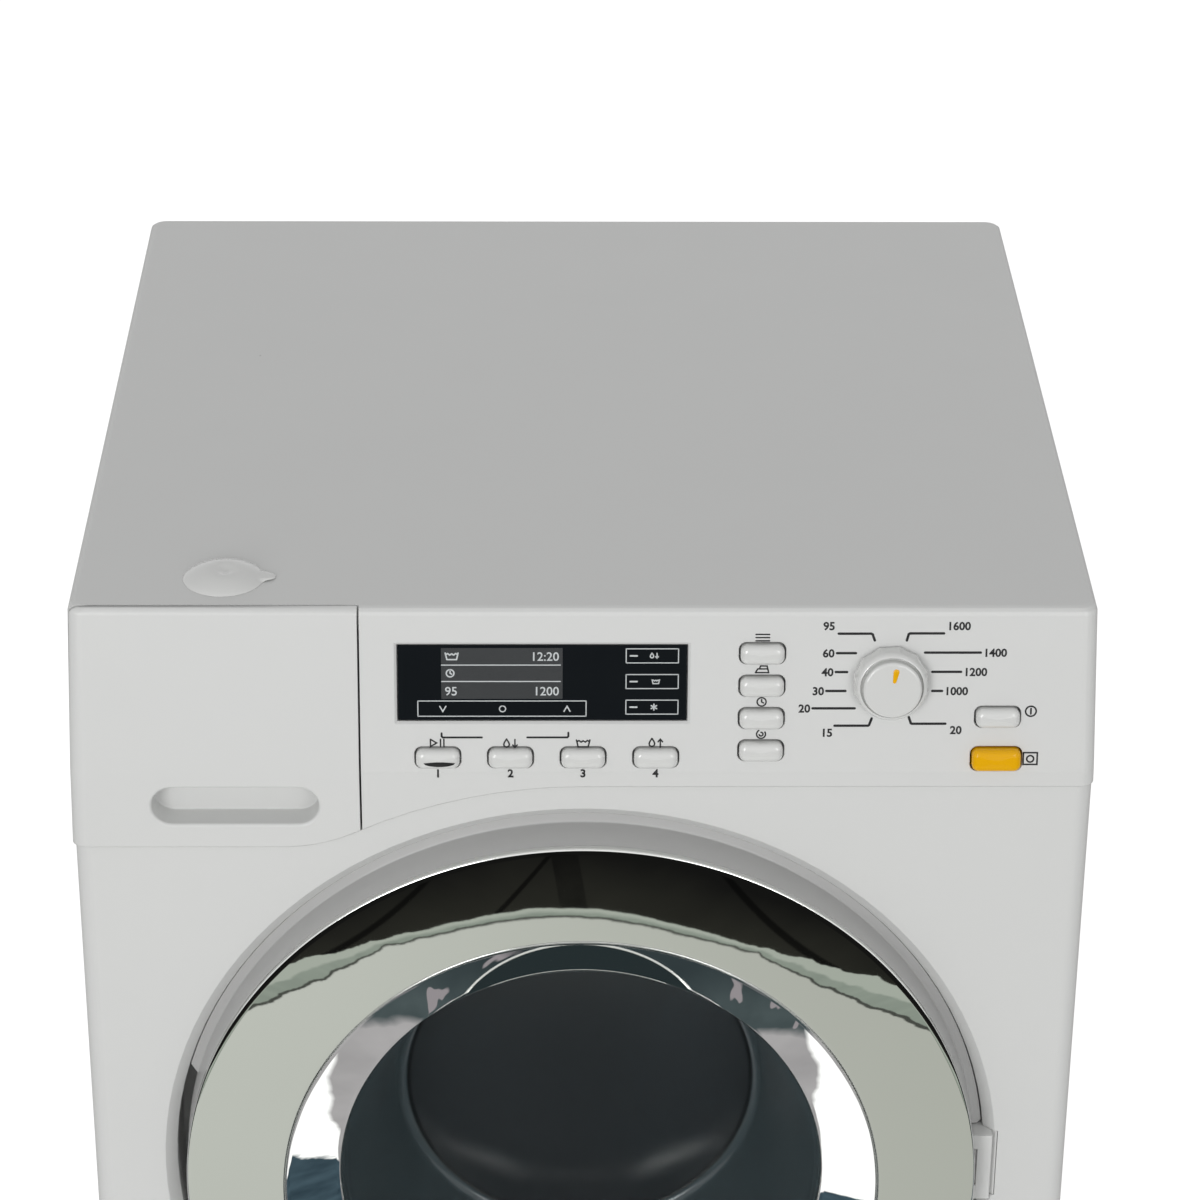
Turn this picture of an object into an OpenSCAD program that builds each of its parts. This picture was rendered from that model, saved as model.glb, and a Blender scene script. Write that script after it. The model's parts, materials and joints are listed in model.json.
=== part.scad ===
// Toy front-loading washing machine, about 18 x 19 x 26 cm.
// Millimetres. +X is to the right seen from the front, +Y to the back, +Z up.
// The origin is the middle of the bottom, on the surface that the feet stand on.

/* [Casing] */
// Width of the lower casing
body_w = 184; // [176:1:200]
// Depth of the casing without the door
body_d = 182; // [178:1:200]
// Height from the floor to the top face
total_h = 260; // [256:1:275]
// Height of the feet under the casing
foot_h = 4; // [3:0.5:8]
// Radius of a foot
foot_r = 9; // [6:0.5:12]
// Distance of a foot's axis from the casing's sides
foot_inset = 18; // [15:1:25]
// Thickness of the moulded walls
wall = 2.4; // [2:0.1:2.8]
// Radius of the casing's upright corners
corner_r = 3; // [2.8:0.1:6]
// How deep the rear panel sits inside the casing
rear_inset = 7; // [6:0.5:10]
// Width of the flange that the rear panel rests on
rear_flange = 4; // [3:0.5:6]

/* [Top cover and control panel] */
// How far the cover's top edge lies inside the casing's side
cover_inset = 0.6; // [0.4:0.1:1.6]
// Draft of the cover's sides, in degrees
cover_draft = 1.3; // [0.5:0.1:1.6]
// Height of the cover's side skirt
cover_skirt_h = 33.6; // [32:0.2:36]
// How far the panel's upper edge leans back behind the casing's front
panel_lean_y = 4.4; // [3:0.1:6]
// How far the panel's lower part stands in front of the casing
panel_proud = 0.6; // [0.4:0.1:1]
// Height from the crease of the panel to the top face
crease_drop = 30.6; // [30:0.2:32]
// Radius of the cover's upright corners
cover_corner_r = 2.6; // [2:0.1:4]
// Rounding of the cover's top edge
top_edge_r = 1.3; // [0.8:0.1:2]
// Gap along the seams of the casing
seam_gap = 0.35; // [0.3:0.05:0.5]

/* [Panel's lower edge] */
// Extra depth of the panel where the drawer is
drawer_drop = 12.6; // [11:0.2:13.4]
// Radius of the long sweep beside the door
sweep_r = 93; // [88:1:100]
// Radius that blends the sweep into the drawer's lower edge
blend_r = 30; // [26:1:34]

/* [Detergent drawer] */
// Distance of the drawer's seam from the middle of the machine
drawer_seam_x = 39.8; // [38.6:0.2:40.6]
// How far the drawer's front wraps round the corner
drawer_wrap = 6; // [5.5:0.5:8]
// Length of the drawer's tray
tray_d = 72; // [60:1:80]
// Height of the drawer's tray
tray_h = 22; // [18:1:24]
// Thickness of the tray's walls
tray_wall = 1.6; // [1.2:0.1:2]
// Running gap round the tray
tray_gap = 0.6; // [0.5:0.1:1]
// Width of the grip slot
grip_w = 30; // [26:1:32]
// Height of the grip slot
grip_h = 7.4; // [6.8:0.1:8]
// Depth of the grip slot
grip_d = 5.2; // [5:0.1:6]
// Distance of the grip slot's middle from the middle of the machine
grip_x = 62.6; // [61:0.2:64]
// Distance of the grip slot's middle below the top face
grip_drop = 37.7; // [36.6:0.1:38.4]

/* [Display and buttons] */
// Width of the display
display_w = 51.4; // [48:0.2:52]
// Height of the display
display_h = 14.1; // [12:0.1:14.6]
// Distance of the display's middle from the middle of the machine, negative to the left
display_x = -7.3; // [-8:0.1:-6]
// Distance of the display's middle down the panel
display_u = 14.05; // [13.6:0.1:14.6]
// Thickness of the display's lens
display_t = 1; // [0.8:0.1:1.2]
// Width of a white button
button_w = 7.8; // [7:0.1:8.4]
// Height of a white button
button_h = 3.6; // [3.2:0.1:3.8]
// Width of the yellow door button
door_button_w = 8.8; // [8:0.1:9.2]
// Height of the yellow door button
door_button_h = 4.2; // [3.8:0.1:4.4]
// How far a button stands out of the panel
button_out = 1.9; // [1.7:0.1:2.4]
// Travel of a button
button_travel = 1.1; // [0.8:0.1:1.2]
// Gap round a button
button_gap = 0.3; // [0.25:0.05:0.4]
// Distance of the lower button row down the panel
row_u = 28.1; // [27.6:0.1:28.2]
// Distance between neighbouring buttons of the lower row
row_pitch = 13; // [12:0.1:13.4]
// Distance of the upright button column from the middle of the machine
column_x = 31.8; // [31:0.1:33]
// Distance of the column's first button down the panel
column_u = 8.33; // [7.6:0.1:8.6]
// Distance between neighbouring buttons of the column
column_pitch = 6.15; // [5.4:0.05:6.2]
// Distance of the power and door buttons from the casing's side
power_inset = 17.95; // [17.4:0.05:18.6]
// Distance of the power button down the panel
power_u = 20.4; // [19:0.1:21]
// Distance of the door button down the panel
door_button_u = 28.4; // [28:0.1:28.5]

/* [Programme knob] */
// Radius of the knob's scalloped skirt
knob_r = 6.85; // [6.4:0.05:7.4]
// Radius of the knob's flat cap
knob_cap_r = 5.2; // [4.6:0.1:5.6]
// Height of the knob
knob_h = 4.8; // [4.4:0.1:6]
// Number of scallops round the skirt
knob_scallops = 12; // [8:1:16]
// Distance of the knob's axis from the middle of the machine
knob_x = 54.7; // [54:0.1:56]
// Distance of the knob's axis down the panel
knob_u = 13.6; // [13:0.1:14.4]
// Radius of the knob's axle
knob_axle_r = 2; // [1.6:0.1:2.4]

/* [Filler plug] */
// Radius of the plug's dome
plug_r = 7.3; // [6.6:0.1:8]
// Height of the plug's dome
plug_h = 2.2; // [1.8:0.1:3]
// Radius of the filler hole
filler_r = 5.4; // [4.8:0.1:5.8]
// Distance of the plug from the middle of the machine
plug_x = 64.4; // [62:0.1:66]
// Distance of the plug behind the casing's front
plug_y = 16.2; // [16:0.1:18]

/* [Door recess] */
// Distance of the door's centre below the top face
door_drop = 117.1; // [116.8:0.1:117.8]
// Radius of the recess at the casing's front
recess_edge_r = 78.55; // [78:0.05:79]
// Radius of the recess behind its chamfer
recess_r = 76.45; // [76.2:0.05:76.8]
// Depth of the recess
recess_d = 7; // [6.6:0.1:8]
// Radius of the porthole
porthole_r = 52; // [51:0.1:53]
// Inner radius of the finger pocket
pocket_r = 68; // [67:0.1:69]
// Depth of the finger pocket
pocket_d = 15; // [13:0.5:15.5]
// Half height of the finger pocket at its inner corner
pocket_half_h = 26; // [22:0.5:28]

/* [Door] */
// Gap between the door's rim and the recess
door_gap = 1.55; // [1.3:0.05:1.7]
// How far the outer edge of the chrome ring stands out
ring_out = 6.8; // [6.4:0.1:7.2]
// How far the inner edge of the chrome ring stands out
door_proud = 8.7; // [8.4:0.1:9.2]
// Outer radius of the chrome ring
ring_r = 74.05; // [73.8:0.05:74.2]
// Inner radius of the chrome ring
ring_inner_r = 55.7; // [54.5:0.1:57]
// Thickness of the chrome ring
ring_t = 1.5; // [1.2:0.1:1.8]
// Radius of the visible glass
glass_r = 45.2; // [44:0.1:46]
// How far the edge of the glass stands out
glass_out = 2.7; // [2.2:0.1:3.2]
// Radius of the bowl at its bottom edge
bowl_r = 40.5; // [38:0.1:42]
// Depth of the bowl behind the casing's front
bowl_d = 27; // [22:0.5:28]
// Thickness of the glass
glass_t = 1.6; // [1.4:0.1:2]
// Depth of the door's frame behind the casing's front
door_back = 4.5; // [4:0.1:4.9]
// Wall of the door's frame
frame_wall = 2; // [1.6:0.1:2.4]

/* [Hinge and catch] */
// Distance of the hinge's axis from the middle of the machine
hinge_x = 75.4; // [75.3:0.05:75.6]
// Distance of the hinge's axis behind the casing's front
hinge_y = 0.8; // [0.6:0.05:1]
// Height of the hinge block
hinge_h = 14.6; // [13:0.2:16]
// Height of the knuckle inside the block
knuckle_h = 7.8; // [6:0.2:8.4]
// Radius of the knuckle
knuckle_r = 1.8; // [1.7:0.05:1.9]
// Radius of the hinge pin
pin_r = 0.9; // [0.8:0.05:1]

/* [Tub and drum] */
// Outer radius of the tub
tub_r = 66; // [65:0.5:67]
// Distance of the tub behind the casing's front
tub_y = 18.5; // [18:0.1:19.5]
// Depth of the room behind the tub for the drive and the motor
drive_room = 68; // [62:0.5:72]
// Thickness of the tub's wall
tub_t = 2; // [1.6:0.1:2.4]
// Outer radius of the drum
drum_r = 60; // [58:0.5:61]
// Thickness of the drum's shell
drum_t = 1.6; // [1.4:0.1:2]
// Distance from the tub's front to the drum
drum_front = 3; // [2.6:0.1:5]
// Distance from the drum's back to the tub's back
drum_rear = 8.5; // [6:0.5:12]
// Radius of the opening in the drum's front
drum_mouth_r = 50; // [49:0.5:51]
// Radius of a hole in the drum
drum_hole_r = 2.2; // [1.6:0.1:2.6]
// Holes round the drum between two lifters
holes_round = 6; // [4:1:7]
// Rows of holes along the drum
hole_rows = 5; // [4:1:6]
// Height of the drum's lifters
lifter_h = 11; // [8:0.5:13]

/* [Drive] */
// Module of the gears
gear_module = 1; // [0.95:0.01:1]
// Teeth of the gear on the drum's shaft
drum_teeth = 48; // [44:4:48]
// Teeth of the idler's small gear
idler_small_teeth = 12; // [12:1:13]
// Teeth of the idler's large gear
idler_large_teeth = 36; // [32:1:37]
// Teeth of the motor's pinion
pinion_teeth = 12; // [12:1:13]
// Width of a gear
gear_w = 4; // [3:0.5:4.5]
// Radius of the drum's shaft
shaft_r = 3; // [2.5:0.1:3.4]
// Radius of the idler's axle
axle_r = 1.5; // [1.2:0.1:2]
// Radius of the motor's can
motor_r = 12; // [10:0.5:14]
// Length of the motor's can
motor_l = 25; // [20:0.5:26]
// Running clearance of shafts, on the radius
run_gap = 0.05; // [0.03:0.01:0.08]
// Thickness of the gear plate
plate_t = 2.4; // [2:0.1:3]

/* [Batteries, water and sound] */
// Radius of a cell
cell_r = 7.25; // [7:0.05:7.25]
// Length of a cell
cell_l = 50.5; // [49:0.1:50.5]
// Number of cells
cell_count = 4; // [2:1:4]
// Inner radius of the water hoses
hose_bore = 2.6; // [2:0.1:3]
// Wall of the water hoses
hose_wall = 1.4; // [1.2:0.1:1.8]
// Outer radius of the drain spout
spout_r = 3; // [2.6:0.1:3.2]
// Radius of the drain spout's bore
spout_bore = 1.8; // [1.4:0.1:2]
// Free length of the drain spout
spout_l = 5.5; // [4:0.1:5.8]
// Height of the drain spout above the floor
spout_z = 26; // [24:0.5:30]
// Radius of the speaker
speaker_r = 14; // [10:0.5:16]

/* [Hidden] */
$fn = 96;

white = [0.93, 0.93, 0.92];
light_grey = [0.78, 0.79, 0.78];
chrome = [0.82, 0.84, 0.85];
tinted = [0.10, 0.12, 0.14, 0.6];
silver = [0.70, 0.71, 0.72];
rubber = [0.30, 0.30, 0.31];
yellow = [0.90, 0.66, 0.04];

eps = 0.01;       // overlap that lets a cut run through a face
through = 400;    // longer than the whole machine
fit_gap = 0.2;    // gap between pieces that seat on each other
play = 0.3;       // gap between pieces that move past each other
front_y = -(body_d - door_proud) / 2;
back_y = front_y + body_d;
shell_back = back_y - panel_proud;
half_w = body_w / 2;
cover_z = total_h - cover_skirt_h;
panel_front = front_y - panel_proud;
lean = atan2(panel_lean_y + panel_proud, crease_drop);
inner_x = half_w - wall;
panel_back = shell_back - rear_inset;
drawer_low_z = cover_z - drawer_drop;
seam_x = -drawer_seam_x;
door_z = total_h - door_drop;
power_x = half_w - power_inset;
tub_l = body_d - tub_y - drive_room;
tub_back = tub_y + tub_l;
drum_l = tub_l - drum_front - drum_rear;
drum_y = tub_y + drum_front;
drum_back = drum_y + drum_l;

function fy(d) = front_y + d;
function arc(c, r, a0, a1, n = 6) =
    [for (i = [0 : n]) let (a = a0 + (a1 - a0) * i / n) [c[0] + r * cos(a), c[1] + r * sin(a)]];
function round_rect(x0, x1, y0, y1, r, n = 6) = concat(
    arc([x1 - r, y1 - r], r, 0, 90, n), arc([x0 + r, y1 - r], r, 90, 180, n),
    arc([x0 + r, y0 + r], r, 180, 270, n), arc([x1 - r, y0 + r], r, 270, 360, n));

// A rectangle with true round corners.
module round_square(x0, x1, y0, y1, r) {
    translate([x0 + r, y0]) square([x1 - x0 - 2 * r, y1 - y0]);
    translate([x0, y0 + r]) square([x1 - x0, y1 - y0 - 2 * r]);
    for (x = [x0 + r, x1 - r], y = [y0 + r, y1 - r]) translate([x, y]) circle(r, $fn = 48);
}

// Places children on the leaning panel: x to the right, u down the panel, out along its normal.
module on_panel(x, u, out = 0) {
    translate([x, fy(panel_lean_y), total_h]) rotate([90 - lean, 0, 0]) translate([0, -u, out]) children();
}

// Places a revolved or extruded piece on the door's axis, with its own +Z pointing out of the machine.
module on_door() {
    translate([0, front_y, door_z]) rotate([90, 0, 0]) children();
}

// Places a piece on an axis that runs to the back from depth d, at x and z.
module to_back(d, x = 0, z = door_z) {
    translate([x, fy(d), z]) rotate([-90, 0, 0]) children();
}

// ---------------------------------------------------------------- casing

// The line under the panel: level under the drawer, a blend, the sweep beside the door, level again.
sweep_run = sqrt(pow(sweep_r + blend_r, 2) - pow(sweep_r + blend_r - drawer_drop, 2));
sweep_end = asin(sweep_run / (sweep_r + blend_r));
function panel_edge(gap) = concat(
    [[-half_w - through, drawer_low_z - gap]],
    arc([-sweep_run, drawer_low_z + blend_r - gap], blend_r, 270, 270 + sweep_end, 8),
    [for (i = [7 : -1 : 0]) let (a = 90 + sweep_end * i / 8)
        [sweep_r * cos(a), cover_z - sweep_r + sweep_r * sin(a) - gap]],
    [[half_w + through, cover_z - gap]]);

// All that lies above the panel's lower edge, drawn through the front of the machine.
module above_edge(gap, depth) {
    translate([0, panel_front - eps, 0]) rotate([90, 0, 0]) mirror([0, 0, 1])
        linear_extrude(depth)
            polygon(concat(panel_edge(gap), [[half_w + through, through], [-half_w - through, through]]));
}

module casing_outline(inset) {
    round_square(-half_w + inset, half_w - inset, front_y + inset, shell_back - inset, corner_r - inset);
}

// The finger pocket beside the door, seen from the front; grow widens it for its walls.
module pocket_shape(grow) {
    intersection() {
        difference() {
            circle(recess_r + grow);
            circle(pocket_r - grow);
        }
        polygon([[-pocket_r + wall + grow, pocket_half_h + 2 * grow],
            [-recess_r - wall - grow, pocket_half_h - wall * 5 + grow],
            [-recess_r - wall - grow, -pocket_half_h + wall * 5 - grow],
            [-pocket_r + wall + grow, -pocket_half_h - 2 * grow]]);
    }
}

catch_x = 60.75;          // middle of the door's catch, left of the machine's middle
catch_slot_w = 5.6;       // width of the slot that the catch goes through
catch_h = 8;              // height of the catch
boss_r = 4;               // radius of a screw boss
boss_l = 16;              // length of a screw boss
screw_r = 1.5;            // radius of a screw's thread
screw_head_r = 2.8;       // radius of a screw's head
screw_head_h = 2;         // height of a screw's head
screw_l = 10;             // length of a screw under its head
boss_x = inner_x - boss_r - 1;
boss_zs = [foot_h + 20, cover_z - 16];
neck_l = 5;               // length of the neck behind the porthole
neck_r = porthole_r + wall;
bracket_t = 1.2;          // thickness of the hinge bracket's back web

module screw_places() {
    for (x = [-boss_x, boss_x], z = boss_zs) translate([x, panel_back, z]) rotate([90, 0, 0]) children();
}

module body_shell() {
    color(white) difference() {
        union() {
            difference() {
                translate([0, 0, foot_h]) linear_extrude(cover_z - seam_gap - foot_h) casing_outline(0);
                translate([0, 0, foot_h - eps]) linear_extrude(through) intersection() {
                    round_square(-inner_x, inner_x, fy(wall), shell_back + corner_r, corner_r - wall + 1);
                    translate([-half_w, front_y]) square([body_w, body_d + corner_r]);
                }
            }
            for (side = [-1, 1]) mirror([side < 0 ? 1 : 0, 0, 0])
                translate([inner_x - rear_flange, panel_back - wall - fit_gap - wall, foot_h + wall + fit_gap])
                    cube([rear_flange + eps, wall, cover_z - seam_gap - foot_h - wall - fit_gap]);
            on_door() translate([0, 0, -recess_d - wall]) cylinder(h = recess_d + wall, r = recess_r + wall);
            on_door() translate([0, 0, -recess_d - wall - neck_l]) cylinder(h = neck_l + eps, r = neck_r);
            on_door() translate([0, 0, -pocket_d - wall]) linear_extrude(pocket_d) pocket_shape(wall);
            for (x = [-boss_x, boss_x], z = boss_zs)
                translate([x, panel_back - wall - fit_gap, z]) rotate([90, 0, 0]) cylinder(h = boss_l, r = boss_r);
            for (side = [-1, 1], z = boss_zs)
                translate([side * (inner_x - (boss_r + 1) / 2 + eps / 2), panel_back - wall - fit_gap - boss_l / 2, z])
                    cube([boss_r + 1 + eps, boss_l, wall], center = true);
        }
        on_door() rotate_extrude() polygon([[0, 1], [recess_edge_r + 1, 1], [recess_edge_r, 0],
            [recess_r, recess_r - recess_edge_r], [recess_r, -recess_d], [0, -recess_d]]);
        on_door() translate([0, 0, -recess_d - wall - neck_l - 1]) cylinder(h = neck_l + wall + 2, r = porthole_r);
        on_door() translate([0, 0, -pocket_d]) linear_extrude(pocket_d - recess_d + eps) pocket_shape(0);
        // seat of the hinge bracket
        translate([hinge_x - knuckle_r - play, fy(-1), door_z - hinge_h / 2 - fit_gap / 2])
            cube([2 * (knuckle_r + play) + bracket_t + fit_gap / 2, recess_d + 1 - eps, hinge_h + fit_gap]);
        // slot for the door's catch
        translate([-catch_x - catch_slot_w / 2, fy(recess_d - 1), door_z - catch_h / 2 - 1])
            cube([catch_slot_w, wall + 2, catch_h + 2]);
        above_edge(seam_gap, drawer_wrap + panel_proud + seam_gap);
        screw_places() translate([0, 0, wall + fit_gap - eps]) cylinder(h = screw_l, r = screw_r + eps);
    }
}

// ---------------------------------------------------------------- rear panel, base and feet

vent_w = 36;      // width of a vent slot
vent_h = 3;       // height of a vent slot
vent_pitch = 8;   // distance between vent slots
vent_count = 6;   // number of vent slots
vent_drop = 30;   // distance of the first slot below the cover

module slot(w, h, depth) {
    linear_extrude(depth, center = true) round_square(-w / 2, w / 2, -h / 2, h / 2, h / 2 - eps);
}

module rear_panel() {
    color(white) difference() {
        translate([-inner_x + fit_gap, panel_back - wall, foot_h + wall + fit_gap])
            cube([2 * (inner_x - fit_gap), wall, cover_z - foot_h - wall - 2 * fit_gap]);
        for (i = [0 : vent_count - 1])
            translate([0, panel_back, cover_z - vent_drop - i * vent_pitch]) rotate([90, 0, 0])
                slot(vent_w, vent_h, 4 * wall);
        translate([0, panel_back, spout_z]) rotate([90, 0, 0])
            cylinder(h = 4 * wall, r = spout_root_r + fit_gap / 2, center = true);
        screw_places() translate([0, 0, -eps]) cylinder(h = 2 * wall, r = screw_r + fit_gap);
    }
}

battery_floor_z = foot_h + wall;
battery_pitch = 2 * cell_r + 0.6;
saddle_t = 3;             // thickness of a saddle under the tub
contact_room = 3.5;       // room for the contacts at each end of the cells
battery_box_d = cell_count * battery_pitch + 2 * wall;
battery_box_w = cell_l + 2 * wall + 2 * contact_room;
battery_y = fy(tub_y + saddle_t + 2.5);
battery_mid_y = battery_y + battery_box_d / 2;
battery_h = 2 * cell_r + 1;
cover_lip = 3;            // overlap of the battery cover's seat
saddle_ds = [tub_y + 2, tub_back - 7];   // depths of the saddles behind the front
saddle_w = 1.06 * tub_r;  // width of a saddle
speaker_x = half_w - 2 * speaker_r - 2;    // distance of the speaker from the middle
speaker_y = fy(60);
speaker_h = 8;            // height of the speaker
foot_x = half_w - foot_inset;
foot_ys = [front_y + foot_inset, shell_back - foot_inset];
grille_r = speaker_r / 10;      // radius of a hole in the speaker's grille
grille_pitch = speaker_r * 2 / 7;   // distance between the rings of holes
spout_root_r = spout_r + 0.5;   // radius of the drain spout where it goes through the rear panel

module base_plate() {
    color(white) difference() {
        union() {
            translate([0, 0, foot_h]) linear_extrude(wall) intersection() {
                round_square(-inner_x + fit_gap, inner_x - fit_gap, fy(wall + fit_gap), panel_back + corner_r, 1);
                translate([-half_w, front_y]) square([body_w, panel_back - front_y]);
            }
            for (d = saddle_ds) difference() {
                translate([-saddle_w / 2, fy(d), foot_h + eps]) cube([saddle_w, saddle_t, door_z - tub_r / 2 - foot_h]);
                to_back(d - 1) cylinder(h = saddle_t + 2, r = tub_r + fit_gap);
                to_back(d - 1, 0, spout_z) cylinder(h = saddle_t + 2, r = hose_bore + hose_wall + play);
            }
        }
        translate([0, battery_mid_y, foot_h + wall / 2])
            cube([battery_box_w - 2 * wall, battery_box_d - 2 * wall, wall + 2 * eps], center = true);
        translate([0, battery_mid_y, foot_h + wall / 4 - eps])
            cube([battery_box_w - 2 * (wall - cover_lip), battery_box_d - 2 * (wall - cover_lip), wall / 2 + 2 * eps],
                center = true);
        for (ring = [0 : 2], i = [0 : max(0, ring * 6 - 1)])
            translate([speaker_x, speaker_y, foot_h + wall / 2]) rotate(ring ? i * 60 / ring : 0)
                translate([ring * grille_pitch, 0, 0]) cylinder(h = 2 * wall, r = grille_r, center = true, $fn = 24);
    }
}

module feet() {
    color(rubber) for (x = [-foot_x, foot_x], y = foot_ys) translate([x, y, 0]) rotate_extrude()
        polygon([[0, 0], [foot_r - 1, 0], [foot_r, 1], [foot_r, foot_h], [0, foot_h]]);
}

module battery_cover() {
    in = wall - cover_lip + fit_gap;
    color(white) translate([0, battery_mid_y, foot_h + wall / 4])
        cube([battery_box_w - 2 * in, battery_box_d - 2 * in, wall / 2 - 2 * eps], center = true);
}

// ---------------------------------------------------------------- top cover

function cover_half(z) = half_w - cover_inset + (total_h - z) * tan(cover_draft);
function cover_front(z) = fy(-panel_proud + max(0, 1 - (total_h - z) / crease_drop) * (panel_lean_y + panel_proud));

// One level of the cover's outline, drawn in by inset.
module cover_level(z, inset, r) {
    translate([0, 0, z - eps]) linear_extrude(eps)
        polygon(round_rect(-cover_half(z) + inset, cover_half(z) - inset, cover_front(z) + inset, back_y - inset, r));
}

cover_low = drawer_low_z - 1;

module cover_form() {
    hull() {
        cover_level(cover_low, 0, cover_corner_r);
        cover_level(total_h - crease_drop, 0, cover_corner_r);
        for (a = [0, 30, 60, 90])
            cover_level(total_h - top_edge_r * (1 - sin(a)), top_edge_r * (1 - cos(a)), cover_corner_r);
    }
}

module cover_hollow() {
    hull() for (z = [cover_low - 1, total_h - crease_drop, total_h - wall]) cover_level(z, wall, cover_corner_r);
}

// The corner of the cover that the drawer's front takes the place of.
module drawer_corner(gap) {
    translate([-through, panel_front - 1, 0])
        cube([through + seam_x - gap, drawer_wrap + panel_proud + 1 - gap, through]);
}

lens_sink = 0.4;          // how deep the display's lens lies under the panel's face
display_bevel = 0.45;     // depth of the bevel round the display

// The cross-section of the display's bevelled edge, which opens at 45 degrees.
module bevel_profile(half) {
    polygon([[display_bevel - half, -2 * display_bevel], [half - display_bevel, -2 * display_bevel],
        [half + 2 * display_bevel, display_bevel], [-half - 2 * display_bevel, display_bevel]]);
}

// The pocket of the display: an upright hole that a bevelled frustum opens out.
module display_pocket() {
    on_panel(display_x, display_u, -display_t - lens_sink)
        linear_extrude(through) square([display_w + 2 * fit_gap, display_h + 2 * fit_gap], center = true);
    on_panel(display_x, display_u) intersection() {
        rotate([90, 0, 0]) linear_extrude(through, center = true) bevel_profile(display_w / 2 + fit_gap);
        rotate([90, 0, 90]) linear_extrude(through, center = true) bevel_profile(display_h / 2 + fit_gap);
    }
}

// Every button: name, place along x, place down the panel, width, height.
BUTTONS = concat(
    [for (i = [0 : 3]) [(i - 2) * row_pitch, row_u, button_w, button_h]],
    [for (i = [0 : 3]) [column_x, column_u + i * column_pitch, button_w, button_h]],
    [[power_x, power_u, button_w, button_h], [power_x, door_button_u, door_button_w, door_button_h]]);

button_corner = 1.1;      // corner radius of a button, seen from the front
button_edge = 1.1;        // rounding of a button's edge
button_crown = 0.15;      // rise of a button's top from its edge to its middle
flange_w = 0.9;           // width of the flanges that keep a button in, at its left and right
flange_t = 0.9;           // thickness of that flange
stem_l = 3;               // length of a button's stem behind the flange
board_depth = 11;         // depth of the circuit board's front behind the panel's face
board_t = 1.6;            // thickness of the circuit board
mat_t = 0.8;              // thickness of the keypad mat
post_r = 2.2;             // radius of the board's posts
switch_r = 7;             // radius of the selector switch
switch_h = 4;             // height of the selector switch
board_x0 = seam_x + 3.8;  // left end of the board
board_x1 = inner_x - 1.1; // right end of the board
board_u0 = 3.6;           // upper edge of the board, down the panel
board_u1 = 31.5;          // lower edge of the board, down the panel
mat_x0 = board_x0 + 4.8;  // left end of the keypad mat
mat_x1 = board_x1 - 5.5;  // right end of the keypad mat
post_low_u = board_u1 - 2.1;
BOARD_POSTS = [[board_x0 + 2, board_u0 + 2], [(column_x + knob_x) / 2, post_low_u],
    [board_x1 - 2.5, board_u0 + 2], [board_x1 - 2.5, post_low_u]];

module top_cover() {
    color(white) difference() {
        union() {
            difference() {
                cover_form();
                cover_hollow();
                // below the skirt, and below the panel's own edge at the front
                difference() {
                    translate([-through / 2, panel_front - 1, 0]) cube([through, body_d + 10, cover_z]);
                    above_edge(0, wall + panel_proud);
                }
                drawer_corner(0);
            }
            for (p = BOARD_POSTS) on_panel(p[0], p[1], -board_depth)
                cylinder(h = board_depth - wall + 0.6, r = post_r, $fn = 32);
        }
        display_pocket();
        for (b = BUTTONS) on_panel(b[0], b[1], -wall - 1.5)
            linear_extrude(wall + 4) round_square(-b[2] / 2 - button_gap, b[2] / 2 + button_gap,
                -b[3] / 2 - button_gap, b[3] / 2 + button_gap, button_corner + button_gap);
        on_panel(knob_x, knob_u, -wall - 2) cylinder(h = wall + 4, r = knob_axle_r + play);
        translate([-plug_x, fy(plug_y), total_h - wall - 1]) cylinder(h = wall + 2, r = filler_r);
    }
}

module display_window() {
    color([0.05, 0.06, 0.07]) on_panel(display_x, display_u, -display_t - lens_sink + eps)
        linear_extrude(display_t) square([display_w, display_h], center = true);
}

module filler_plug() {
    dome_r = (plug_r * plug_r + plug_h * plug_h) / (2 * plug_h);
    open_a = asin(plug_r / dome_r);
    stem = 2.5;
    tab_w = 3.6;
    dimple_r = 3;
    color(white) translate([-plug_x, fy(plug_y), total_h + eps]) {
        difference() {
            union() {
                rotate_extrude() polygon(concat([[0, 0], [plug_r - 0.3, 0]],
                    [for (i = [0 : 8]) let (a = 90 - open_a + open_a * i / 8)
                        [dome_r * cos(a), plug_h - dome_r + dome_r * sin(a)]]));
                translate([0, 0, -wall - stem]) cylinder(h = wall + stem + eps, r = filler_r - play);
                // finger tab
                translate([0, -tab_w / 2, 0]) linear_extrude(tab_w / 4) round_square(0, plug_r + 2, 0, tab_w, tab_w / 3);
            }
            translate([0, 0, plug_h + 0.73 * dimple_r]) sphere(r = dimple_r);
        }
    }
}

// ---------------------------------------------------------------- drawer

housing_wall = 1.6;       // thickness of the housing's walls
tray_x0 = 5 - inner_x;    // left side of the tray
tray_x1 = seam_x - 4.5;   // right side of the tray
tray_z0 = drawer_low_z + 6;
tray_y0 = panel_front + wall / 2 + grip_d + fit_gap;
tray_parts = 3;           // compartments of the tray
housing_x0 = tray_x0 - tray_gap - housing_wall;
housing_x1 = tray_x1 + tray_gap + housing_wall;
housing_z0 = tray_z0 - tray_gap - housing_wall;
housing_y0 = fy(drawer_wrap + 1);
housing_y1 = tray_y0 + tray_d + tray_gap + housing_wall;
housing_z1 = total_h - wall - fit_gap;
hose_y = fy(40);
hose_x = seam_x - 10.2;   // place of the hose under the housing
outlet_l = 4;             // length of the housing's outlet nipple

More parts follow.
